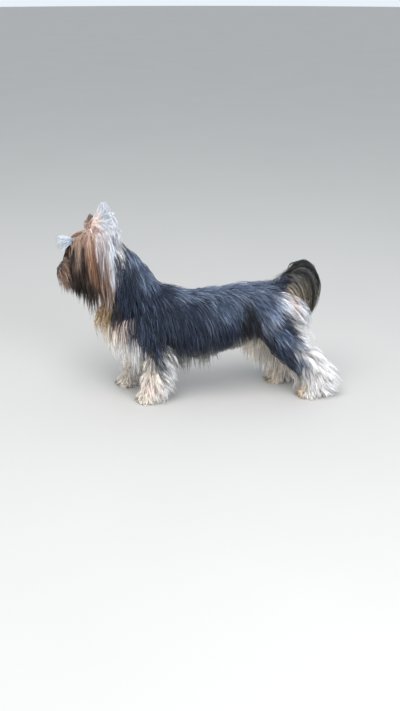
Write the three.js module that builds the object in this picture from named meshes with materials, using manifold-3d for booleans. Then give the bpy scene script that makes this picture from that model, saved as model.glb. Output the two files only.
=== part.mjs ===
// A long-coated Yorkshire terrier, life size, standing with its weight on four feet and its head turned a little
// to its left. The solids follow the outline of the coat, out to the tips of the hair; only the claws, the nose
// and the eyes show bare. Millimetres, +Z up, the dog faces -X and its left side is -Y.
import * as THREE from "three";
import { mergeVertices } from "three/addons/utils/BufferGeometryUtils.js";
import Module from "manifold-3d";

const wasm = await Module();
wasm.setup();

// Driving dimensions
const WITHERS_HEIGHT = 220; // floor to the top of the coat over the shoulders
const CROUP_HEIGHT = 215; // floor to the top of the coat over the pelvis
const HEM_HEIGHT = 63; // floor to the lower edge of the coat under the chest
const CHEST_HALF_WIDTH = 63; // half the width of the barrel, coat included
const TRACK_HALF_WIDTH = 38; // from the middle of the body to the middle of each foot
const HEAD_CENTRE = [-190, -5, 278]; // middle of the skull
const HEAD_TURN_DEG = 20; // towards the dog's left
const HEAD_BOW_DEG = 12; // nose down
const HEAD_TILT_DEG = 12; // right ear down
const EYE_RADIUS = 7.5;
const EYE_CENTRE = { x: -30, y: 18.5, z: 2 }; // in the head's frame
const CLAW = { length: 9, half: 1.7, spacing: 7.2 };
const GAP = 0.4; // kept between neighbouring pieces
const BENCH = 800; // wider than the whole dog, for the cuts across the legs
const CENTRE_SHIFT = [-4.7, 4.3, 0]; // puts the origin under the middle of the whole dog

const COLOUR = {
  blue: 0x3d4456,
  tan: 0xb08a63,
  cream: 0xd9c9b2,
  silver: 0xc9ccd4,
  dark: 0x2a2c36,
  horn: 0x201c1a,
  eye: 0x1d120c,
};
const ROUGHNESS = { coat: 0.8, leather: 0.4, horn: 0.35, eye: 0.1 };

const ACROSS_BODY = new THREE.Vector3(0, 1, 0);
const ALONG_BODY = new THREE.Vector3(1, 0, 0);
const DOWN = new THREE.Vector3(0, 0, -1);
const SIDES = [["left", -1], ["right", 1]];

// A closed tube through stations. A station has its centre, the half size across, and the half sizes over and
// under the centre. The sections stand square to facing, or else to the path; over is facing x across. rounding
// is the length over which each end closes, and grow makes the same tube that much fatter and longer all round.
function loft(stations, options = {}) {
  const { across = ACROSS_BODY, facing, around = 16, rings = 9, power = 2, rounding = [0, 0], grow = 0 } = options;
  const curve = (points) => new THREE.CatmullRomCurve3(points, false, "centripetal");
  const path = curve(stations.map((s) => new THREE.Vector3(...s.at)));
  const sizes = curve(stations.map((s) => new THREE.Vector3(s.half, s.over, s.under ?? s.over)));
  const ring = Array.from({ length: rings + 1 }, (_, i) => {
    const even = i / rings;
    const crowded = (1 - Math.cos(Math.PI * even)) / 2;
    const u = THREE.MathUtils.lerp(even, crowded, rounding[0] > 0 && rounding[1] > 0 ? 0.75 : 0);
    return { centre: path.getPoint(u), size: sizes.getPoint(u), tangent: facing ?? path.getTangent(u) };
  });
  let travelled = 0;
  ring.forEach((r, i) => {
    if (i) travelled += r.centre.distanceTo(ring[i - 1].centre);
    r.along = travelled;
  });
  const closing = (distance, length) => Math.sqrt(Math.max(0.03, 1 - (1 - Math.min(1, distance / length)) ** 2));
  for (const r of ring) {
    r.up = new THREE.Vector3().crossVectors(r.tangent, across).normalize();
    r.side = new THREE.Vector3().crossVectors(r.up, r.tangent).normalize();
    r.swell = 1;
    if (rounding[0]) r.swell *= closing(r.along, rounding[0]);
    if (rounding[1]) r.swell *= closing(travelled - r.along, rounding[1]);
  }
  ring[0].centre.addScaledVector(ring[0].tangent, -grow);
  ring[rings].centre.addScaledVector(ring[rings].tangent, grow);
  const geometry = new THREE.CylinderGeometry(1, 1, 1, around, rings);
  const position = geometry.getAttribute("position");
  const bend = (wave) => Math.sign(wave) * Math.abs(wave) ** (2 / power);
  for (let i = 0; i < position.count; i += 1) {
    const [x, y, z] = [position.getX(i), position.getY(i), position.getZ(i)];
    const r = ring[Math.round((0.5 - y) * rings)];
    const onWall = Math.hypot(x, z) > 0.5 ? 1 : 0;
    const upDown = z >= 0 ? r.size.y : r.size.z;
    const sideways = bend(x) * (r.size.x * r.swell + grow) * onWall;
    const upwards = bend(z) * (upDown * r.swell + grow) * onWall;
    const p = r.centre.clone().addScaledVector(r.side, sideways).addScaledVector(r.up, upwards);
    position.setXYZ(i, p.x, p.y, p.z);
  }
  return geometry;
}

// A closed geometry as a solid
function solidOf(geometry) {
  const bare = geometry.clone();
  bare.deleteAttribute("normal");
  bare.deleteAttribute("uv");
  const merged = mergeVertices(bare, 1e-3);
  return new wasm.Manifold(new wasm.Mesh({
    numProp: 3,
    vertProperties: merged.getAttribute("position").array,
    triVerts: new Uint32Array(merged.index.array),
  }));
}

// The bodies of a solid, the largest first
const bodies = (solid) => solid.decompose().sort((a, b) => b.volume() - a.volume());

function meshOf(name, solid, colour, roughness = ROUGHNESS.coat) {
  const { vertProperties, triVerts } = solid.getMesh();
  const geometry = new THREE.BufferGeometry();
  geometry.setAttribute("position", new THREE.BufferAttribute(Float32Array.from(vertProperties), 3));
  geometry.setIndex(new THREE.BufferAttribute(Uint32Array.from(triVerts), 1));
  geometry.computeVertexNormals();
  const mesh = new THREE.Mesh(geometry, new THREE.MeshStandardMaterial({ color: colour, roughness, metalness: 0 }));
  mesh.name = name;
  return mesh;
}

// The head has its own frame: the middle of the skull at 0, the nose towards -X, the crown towards +Z
const headMatrix = new THREE.Matrix4()
  .makeTranslation(...HEAD_CENTRE)
  .multiply(new THREE.Matrix4().makeRotationZ(THREE.MathUtils.degToRad(HEAD_TURN_DEG)))
  .multiply(new THREE.Matrix4().makeRotationY(THREE.MathUtils.degToRad(-HEAD_BOW_DEG)))
  .multiply(new THREE.Matrix4().makeRotationX(THREE.MathUtils.degToRad(-HEAD_TILT_DEG)));
const plumb = DOWN.clone().transformDirection(headMatrix.clone().invert());

// A point below another one in the head's frame, where hair that starts there and hangs free comes to
const hanging = ([x, y, z], drop) => [x + plumb.x * drop, y + plumb.y * drop, z + plumb.z * drop];

// Pieces in the order in which they claim their space: each gives way to those that it lists
const pieces = new Map();
function piece(name, colour, shape, { givesWayTo = [], inHead = false, roughness } = {}) {
  const make = (grow) => {
    const geometry = shape(grow);
    return solidOf(inHead ? geometry.applyMatrix4(headMatrix) : geometry);
  };
  let solid = make(0);
  for (const other of givesWayTo) solid = solid.subtract(pieces.get(other).make(GAP));
  pieces.set(name, { make, solid: bodies(solid)[0], colour, roughness });
}

// Barrel from the forechest to the buttocks, draped with coat
function trunk(grow) {
  const rib = (x, top, hem, half) => ({
    at: [x, 0, THREE.MathUtils.lerp(hem, top, 0.55)], half, over: (top - hem) * 0.45, under: (top - hem) * 0.55,
  });
  return loft([
    rib(-190, 160, 116, 20),
    rib(-172, 184, 96, 42),
    rib(-135, 206, HEM_HEIGHT + 9, CHEST_HALF_WIDTH - 6),
    rib(-85, WITHERS_HEIGHT - 4, HEM_HEIGHT + 2, CHEST_HALF_WIDTH),
    rib(-34, 203, HEM_HEIGHT, CHEST_HALF_WIDTH + 3),
    rib(20, 204, HEM_HEIGHT + 6, CHEST_HALF_WIDTH + 1),
    rib(72, CROUP_HEIGHT - 4, 90, CHEST_HALF_WIDTH - 3),
    rib(118, CROUP_HEIGHT, 104, CHEST_HALF_WIDTH - 4),
    rib(158, 205, 110, CHEST_HALF_WIDTH - 10),
    rib(186, 178, 118, 38),
    rib(198, 164, 130, 22),
  ], { facing: ALONG_BODY, around: 20, rings: 15, power: 2.2, rounding: [16, 12], grow });
}

// Neck with its mane, from the skull down to between the shoulders
function neck(grow) {
  const level = (z, nape, throat, half) => ({
    at: [(nape + throat) / 2, 0, z], half, over: (nape - throat) / 2,
  });
  return loft([
    level(288, -128, -176, 34),
    level(271, -112, -184, 41),
    level(248, -98, -186, 46),
    level(222, -79, -190, 50),
    level(191, -68, -192, 52),
    level(156, -74, -186, 48),
  ], { facing: DOWN, around: 18, rings: 7, rounding: [10, 0], grow });
}

// Skull and its short facial coat
function skull(grow) {
  return loft([
    { at: [-37, 0, -8], half: 22, over: 22, under: 26 },
    { at: [-24, 0, -2], half: 34, over: 34, under: 34 },
    { at: [-4, 0, 0], half: 41, over: 43, under: 38 },
    { at: [18, 0, 0], half: 40, over: 42, under: 36 },
    { at: [40, 0, -4], half: 26, over: 28, under: 24 },
  ], { facing: ALONG_BODY, around: 16, rings: 7, rounding: [9, 14], grow });
}

// Short muzzle between the eyes and the nose
function muzzle(grow) {
  return loft([
    { at: [-60, 0, -16], half: 12, over: 9, under: 12 },
    { at: [-42, 0, -14], half: 16, over: 12, under: 16 },
    { at: [-24, 0, -12], half: 19, over: 15, under: 18 },
  ], { facing: ALONG_BODY, around: 14, rings: 4, power: 2.3, rounding: [5, 0], grow });
}

// The nose leather at the tip of the muzzle
function nose(grow) {
  return loft([
    { at: [-67, 0, -13], half: 7, over: 5, under: 5 },
    { at: [-62, 0, -12.5], half: 9, over: 6.5, under: 6.5 },
    { at: [-56, 0, -12], half: 8, over: 6, under: 6.5 },
  ], { facing: ALONG_BODY, around: 12, rings: 4, power: 2.4, rounding: [4, 2], grow });
}

function eye(side, grow) {
  const ball = new THREE.SphereGeometry(EYE_RADIUS + grow, 10, 7);
  return ball.translate(EYE_CENTRE.x, side * EYE_CENTRE.y, EYE_CENTRE.z);
}

// Moustache: the long hair that hangs from one side of the muzzle
function moustache(side, grow) {
  return loft([
    { at: [-50, side * 9, -12], half: 15, over: 9 },
    { at: [-50, side * 18, -30], half: 17, over: 11 },
    { at: [-47, side * 20, -52], half: 17, over: 10 },
    { at: [-42, side * 17, -74], half: 13, over: 8 },
    { at: [-37, side * 13, -90], half: 5, over: 3 },
  ], { across: ALONG_BODY, around: 12, rings: 6, rounding: [6, 8], grow });
}

// Beard: the hair that hangs from the chin between the moustaches and the throat
function beard(grow) {
  return loft([
    { at: [-34, 0, -26], half: 17, over: 20 },
    { at: [-32, 0, -48], half: 16, over: 22 },
    { at: [-25, 0, -74], half: 14, over: 18 },
    { at: [-16, 0, -98], half: 6, over: 6 },
  ], { facing: DOWN, around: 14, rings: 6, rounding: [6, 9], grow });
}

// Fall: the curtain of hair from the crown over one cheek
function fall(side, drop, grow) {
  return loft([
    { at: [-4, side * 24, 34], half: 26, over: 8 },
    { at: [-5, side * 44, 16], half: 32, over: 10 },
    { at: [-4, side * 51, -14], half: 36, over: 11 },
    { at: [-3, side * 49, -0.52 * drop], half: 36, over: 11 },
    { at: [-5, side * 41, -0.8 * drop], half: 27, over: 10 },
    { at: [-12, side * 34, -drop], half: 9, over: 5 },
  ], { across: ALONG_BODY, around: 14, rings: 8, power: 2.2, rounding: [8, 12], grow });
}

// An ear: an upright V, wide at its base, thin, and laid back from the crown. lean is how far out its tip goes.
const EAR_ROOT = { x: 16, y: 25, z: 27 };
function ear(side, { lean, back, rise }, grow) {
  const share = (t) => [EAR_ROOT.x + back * t, side * (EAR_ROOT.y + lean * t), EAR_ROOT.z + rise * t];
  return loft([
    { at: share(0), half: 7, over: 17 },
    { at: share(0.35), half: 6, over: 15 },
    { at: share(0.7), half: 4.5, over: 10 },
    { at: share(0.92), half: 3, over: 5 },
    { at: share(1), half: 2, over: 2.5 },
  ], { facing: DOWN.clone().negate(), around: 12, rings: 6, grow });
}

// The long hair on the back edge of an ear, which streams down to the nape
function earFringe(side, { lean, back, rise }, grow) {
  return loft([
    { at: [EAR_ROOT.x + back + 2, side * (EAR_ROOT.y + lean * 0.9), EAR_ROOT.z + rise * 0.86], half: 3, over: 3 },
    { at: [EAR_ROOT.x + back * 0.8 + 6, side * (27 + lean * 0.6), 27 + rise * 0.45], half: 6, over: 12 },
    { at: [40, side * (30 + lean * 0.2), 22], half: 9, over: 17 },
    { at: [45, side * 34, -4], half: 11, over: 18 },
    { at: [44, side * 35, -32], half: 11, over: 16 },
    { at: [38, side * 33, -58], half: 8, over: 12 },
    { at: [32, side * 31, -78], half: 3, over: 4 },
  ], { facing: DOWN, around: 12, rings: 9, rounding: [4, 8], grow });
}

// Topknot: the tuft gathered on the forehead, fanning out forwards
function topknot(grow) {
  return loft([
    { at: [-54, 0, 34], half: 8, over: 7 },
    { at: [-47, 0, 36], half: 13, over: 11 },
    { at: [-36, 0, 37], half: 11, over: 10 },
    { at: [-25, 0, 35], half: 7, over: 8 },
    { at: [-14, 0, 28], half: 9, over: 9 },
  ], { facing: ALONG_BODY, around: 14, rings: 7, rounding: [5, 0], grow });
}

// Docked tail carried up, and the plume that hangs from it
function tail(grow) {
  return loft([
    { at: [134, 0, 188], half: 17, over: 17, under: 24 },
    { at: [150, 0, 210], half: 15, over: 15, under: 26 },
    { at: [166, 0, 229], half: 15, over: 15, under: 22 },
    { at: [180, 0, 240], half: 12, over: 12 },
  ], { around: 14, rings: 5, rounding: [0, 9], grow });
}

function plume(grow) {
  return loft([
    { at: [178, 0, 247], half: 12, over: 11 },
    { at: [188, 0, 236], half: 18, over: 20, under: 16 },
    { at: [197, 0, 216], half: 21, over: 24, under: 24 },
    { at: [199, 0, 191], half: 21, over: 23, under: 28 },
    { at: [202, 0, 166], half: 16, over: 14, under: 16 },
    { at: [205, 0, 143], half: 6, over: 4 },
  ], { facing: DOWN, around: 14, rings: 7, rounding: [9, 10], grow });
}

// A leg's coat as a column down to the floor, from the heights of its levels. It is parted across at two heights.
function legColumn(side, levels, grow) {
  return loft(levels.map(({ z, front, back, half, shift = 0 }) => ({
    at: [(front + back) / 2, side * (TRACK_HALF_WIDTH + shift), z], half, over: (back - front) / 2,
  })), { facing: DOWN, around: 16, rings: 9, power: 2.2, grow });
}

const foreleg = (paw, reach) => [
  { z: 134, front: -118 + reach * 0.2, back: -66 + reach * 0.3, half: 20, shift: -5 },
  { z: 112, front: -118 + reach * 0.4, back: -56 + reach * 0.5, half: 23 },
  { z: 84, front: -113 + reach * 0.6, back: -52 + reach * 0.7, half: 23 },
  { z: 50, front: -112 + reach * 0.8, back: -47 + reach * 0.9, half: 22 },
  { z: 28, front: paw - 4, back: paw + 60, half: 24 },
  { z: 10, front: paw - 4, back: paw + 54, half: 24 },
  { z: 0, front: paw, back: paw + 45, half: 20 },
];

// feather is how far the hair on the front of the shank hangs forward of the toes
const hindLeg = (stifle, hock, paw, feather) => [
  { z: 180, front: 96, back: 178, half: 20, shift: -12 },
  { z: 140, front: stifle, back: (stifle + hock) / 2 + 44, half: 28, shift: -4 },
  { z: 106, front: stifle + 12 - feather, back: (stifle + hock) / 2 + 44, half: 25 },
  { z: 80, front: hock - 86, back: hock - 12, half: 22 },
  { z: 54, front: hock - 74 - feather * 0.5, back: hock + 14, half: 22 },
  { z: 28, front: paw - 3 - feather, back: hock + 30, half: 24 },
  { z: 10, front: paw - 4, back: hock + 34, half: 25 },
  { z: 0, front: paw, back: hock + 22, half: 21 },
];

// Claws: curved horn points along the front of a paw, the middle two furthest forward
const TOES = [-1.5, -0.5, 0.5, 1.5];
function claw(side, paw, toe, grow) {
  const y = side * TRACK_HALF_WIDTH + toe * CLAW.spacing;
  const x = paw + 5.5 * (Math.abs(toe) - 0.5);
  return loft([
    { at: [x - CLAW.length, y, 3.6], half: 0.5, over: 0.7 },
    { at: [x - CLAW.length * 0.55, y, 6.6], half: CLAW.half * 0.8, over: CLAW.half },
    { at: [x, y, 7.5], half: CLAW.half, over: CLAW.half * 1.15 },
  ], { facing: ALONG_BODY, around: 5, rings: 2, grow });
}

piece("trunk", COLOUR.blue, trunk);
piece("neck", COLOUR.blue, neck, { givesWayTo: ["trunk"] });
piece("tail", COLOUR.dark, tail, { givesWayTo: ["trunk"] });
piece("tail_plume", COLOUR.dark, plume, { givesWayTo: ["trunk", "tail"] });

for (const [word, side] of SIDES) {
  piece(`eye_${word}`, COLOUR.eye, (g) => eye(side, g), { inHead: true, roughness: ROUGHNESS.eye });
}
piece("nose", COLOUR.horn, nose, { inHead: true, roughness: ROUGHNESS.leather });
piece("muzzle", COLOUR.tan, muzzle, { inHead: true, givesWayTo: ["nose", "eye_left", "eye_right"] });
piece("head", COLOUR.tan, skull, { inHead: true, givesWayTo: ["eye_left", "eye_right", "muzzle", "neck"] });

const FACE = ["head", "muzzle", "nose", "eye_left", "eye_right"];
const EAR = { left: { lean: 3, back: 23, rise: 50 }, right: { lean: 30, back: 16, rise: 28 } };
const FALL_DROP = { left: 106, right: 98 };
for (const [word, side] of SIDES) {
  piece(`ear_${word}`, COLOUR.silver, (g) => ear(side, EAR[word], g), { inHead: true, givesWayTo: ["head"] });
}
piece("topknot", COLOUR.silver, topknot, { inHead: true, givesWayTo: FACE });
for (const [word, side] of SIDES) {
  const around = [...FACE, "neck", "trunk", `ear_${word}`, "topknot"];
  piece(`fall_${word}`, COLOUR.tan, (g) => fall(side, FALL_DROP[word], g), { inHead: true, givesWayTo: around });
  piece(`ear_fringe_${word}`, COLOUR.silver, (g) => earFringe(side, EAR[word], g), {
    inHead: true, givesWayTo: [...around, `fall_${word}`],
  });
}
piece("beard", COLOUR.tan, beard, { inHead: true, givesWayTo: [...FACE, "neck", "trunk", "fall_left", "fall_right"] });
for (const [word, side] of SIDES) {
  const others = [...FACE, "neck", "trunk", "fall_left", "fall_right", "beard"];
  if (side > 0) others.push("moustache_left");
  piece(`moustache_${word}`, COLOUR.tan, (g) => moustache(side, g), { inHead: true, givesWayTo: others });
}

// Legs: paw is the x of the foremost toe of a foot, and partings the heights at which the column is parted
const LEG_PARTS = { fore: ["upper", "lower", "paw"], hind: ["thigh", "shank", "paw"] };
const LEGS = [
  { name: "foreleg_left", side: -1, paw: -114, levels: foreleg(-114, 0), partings: [82, 29] },
  { name: "foreleg_right", side: 1, paw: -151, levels: foreleg(-151, -37), partings: [82, 29] },
  { name: "hindleg_left", side: -1, paw: 184, levels: hindLeg(104, 226, 184, 0), partings: [92, 29] },
  { name: "hindleg_right", side: 1, paw: 134, levels: hindLeg(88, 178, 134, 12), partings: [92, 29] },
];

const root = new THREE.Group();
root.position.set(...CENTRE_SHIFT);
for (const { name, side, paw, levels, partings } of LEGS) {
  const kind = name.slice(0, 4);
  const claws = TOES.map((toe) => (grow) => claw(side, paw, toe, grow));
  const inTheWay = kind === "fore" ? ["trunk", "neck"] : ["trunk", "tail_plume"];
  let column = solidOf(legColumn(side, levels, 0));
  for (const other of inTheWay) column = column.subtract(pieces.get(other).make(GAP));
  for (const shape of claws) column = column.subtract(solidOf(shape(GAP)));
  column = bodies(column)[0];
  for (const height of partings) {
    column = column.subtract(solidOf(new THREE.BoxGeometry(BENCH, BENCH, GAP).translate(0, 0, height)));
  }
  const lengths = bodies(column).slice(0, LEG_PARTS[kind].length);
  lengths.sort((a, b) => b.boundingBox().max[2] - a.boundingBox().max[2]);
  LEG_PARTS[kind].forEach((word, i) => {
    root.add(meshOf(`${name}_${word}`, lengths[i], word === "thigh" ? COLOUR.blue : COLOUR.cream));
  });
  claws.forEach((shape, i) => {
    root.add(meshOf(`${name}_claw_${i + 1}`, solidOf(shape(0)), COLOUR.horn, ROUGHNESS.horn));
  });
}
for (const [name, { solid, colour, roughness }] of pieces) root.add(meshOf(name, solid, colour, roughness));

export default root;
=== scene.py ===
import math

import bmesh
import bpy
import numpy as np
from bpy.props import FloatProperty, FloatVectorProperty, IntProperty, PointerProperty
from mathutils import Matrix, Vector
from mathutils.bvhtree import BVHTree


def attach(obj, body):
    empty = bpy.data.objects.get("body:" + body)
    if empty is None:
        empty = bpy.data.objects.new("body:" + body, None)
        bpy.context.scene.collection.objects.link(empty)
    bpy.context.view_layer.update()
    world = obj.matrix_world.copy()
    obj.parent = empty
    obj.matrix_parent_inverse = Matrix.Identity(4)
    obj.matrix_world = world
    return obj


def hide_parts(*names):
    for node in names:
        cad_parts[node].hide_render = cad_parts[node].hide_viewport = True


bl_info = {
    "name": "Standing terrier",
    "version": (1, 0, 0),
    "blender": (4, 5, 0),
    "location": "3D Viewport > Sidebar > Terrier",
    "description": "Builds a life-size long-coated terrier round its packed frame",
    "category": "Add Mesh",
}

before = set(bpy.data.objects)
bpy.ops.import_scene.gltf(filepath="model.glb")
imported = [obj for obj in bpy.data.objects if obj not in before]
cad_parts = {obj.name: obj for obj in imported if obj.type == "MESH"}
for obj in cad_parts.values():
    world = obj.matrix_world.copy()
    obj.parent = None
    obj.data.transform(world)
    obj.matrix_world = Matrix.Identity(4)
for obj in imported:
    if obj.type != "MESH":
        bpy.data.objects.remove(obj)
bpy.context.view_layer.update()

MM = 0.001
# The tables below are in millimetres in the dog's own frame: the floor under the trunk at 0, the nose towards
# -X, the dog's left side towards -Y
SHIFT = Vector((-4.7, 4.3, 0.0))
HEAD_AT = (-190, -5, 278)
HEAD_TURN, HEAD_BOW, HEAD_TILT = (math.radians(a) for a in (20, 12, 12))
LEFT, RIGHT = -1, 1
SIDES = (LEFT, RIGHT)
SIDE_WORDS = {LEFT: "left", RIGHT: "right"}
# How far the right legs stand from the left ones along the body, from the foot up: heights and shifts
RIGHT_SHIFT = {
    "fore": ((0, 30, 98, 150), (-37, -33, -12, -5)),
    "hind": ((0, 54, 92, 112, 140, 168), (-50, -45, -34, -28, -20, -8)),
}
# Half the distance between the two feet of a pair
TRACK = 38


def body_point(x, y, z):
    """A point of the dog's own frame, as a place in the scene."""
    return (Vector((x, y, z)) + SHIFT) * MM


HEAD_MATRIX = (
    Matrix.Translation(body_point(*HEAD_AT))
    @ Matrix.Rotation(HEAD_TURN, 4, "Z")
    @ Matrix.Rotation(-HEAD_BOW, 4, "Y")
    @ Matrix.Rotation(-HEAD_TILT, 4, "X")
    @ Matrix.Scale(MM, 4)
)
HEAD_TURNING = HEAD_MATRIX.to_3x3().normalized()


def head_point(x, y, z):
    """A point of the head's frame: the skull's middle at 0, the nose towards -X, the crown towards +Z."""
    return HEAD_MATRIX @ Vector((x, y, z))


def linear(code):
    """An sRGB hex colour as linear red, green and blue."""
    channels = (int(code[i:i + 2], 16) / 255 for i in (1, 3, 5))
    return tuple(c / 12.92 if c <= 0.04045 else ((c + 0.055) / 1.055) ** 2.4 for c in channels)


# Tones of the hair: at the root, halfway, at the tip, and of the paler or darker streaks among it
TONES = {
    "navy": ("#080c14", "#141d2d", "#26354c", "#50637f"),
    "steel": ("#0d131d", "#1c2639", "#323f58", "#67778f"),
    "greyblue": ("#1b2433", "#3f4d66", "#74849f", "#b4c2d3"),
    "umber": ("#07080b", "#11131b", "#232734", "#434b5a"),
    "sable": ("#030405", "#070a0c", "#10161a", "#293236"),
    "taupe": ("#303134", "#5e6163", "#a3a49c", "#c2b59f"),
    "silver": ("#bcc4ce", "#e0e6ec", "#fbfdff", "#8995a6"),
    "white": ("#f2ede8", "#fcf9f6", "#ffffff", "#d8cfc8"),
    "cream": ("#f0dfc6", "#fcf2e3", "#fffcf6", "#dcb98e"),
    "straw": ("#f0e2cf", "#ead4b2", "#cfa877", "#fbf5ec"),
    "frost": ("#3b485e", "#7483a0", "#cfd8e3", "#b4c0cf"),
    "cocoa": ("#ad8f7e", "#33251e", "#120e0c", "#84665a"),
    "ink": ("#33271f", "#17110e", "#0d0a09", "#6e5442"),
    "honey": ("#b39a86", "#9c8270", "#665044", "#e3cdb4"),
    "russet": ("#6a4632", "#4d3022", "#33231b", "#8f6a50"),
    "pearl": ("#b9bcc4", "#d3d5da", "#e9ebee", "#a6a9b4"),
    # painted skylight: the steel-blue coat, made paler and bluer for the top of the back, where light from
    # above falls on it
    "frosty": ("#222c3c", "#4d5c74", "#8b9ab1", "#c6d2df"),
    "snow": ("#dce3ea", "#d6dce4", "#c3c2c4", "#98a2b2"),
    "ash": ("#45484c", "#6e7070", "#b0a184", "#cdb58f"),
    "gold": ("#70502f", "#ad8852", "#d2b181", "#efdcba"),
    "tan": ("#5a4034", "#8f6f5e", "#bfa18f", "#33221b"),
    "lilac": ("#4d4246", "#8a7d80", "#bfb4b5", "#ece7e6"),
    "charcoal": ("#0b0908", "#1d1715", "#3b302b", "#80695a"),
    "rust": ("#4a3226", "#7f6150", "#a98a76", "#d8c0ac"),
    "blush": ("#d8bdb0", "#f0ded3", "#fcf4ee", "#d5b2a2"),
    "ice": ("#8f9db0", "#bccbd9", "#eef4f8", "#66768a"),
    "fallow": ("#b89c8c", "#8d6c58", "#3d302b", "#e0d0c2"),
    "amber": ("#c9ab9c", "#94694f", "#8a6a55", "#dcc0aa"),
    "smoke": ("#d3cac7", "#a39696", "#8b7468", "#efeae8"),
    "fawn": ("#8a6e60", "#b99e91", "#ddcdc3", "#f2ebe6"),
}

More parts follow.
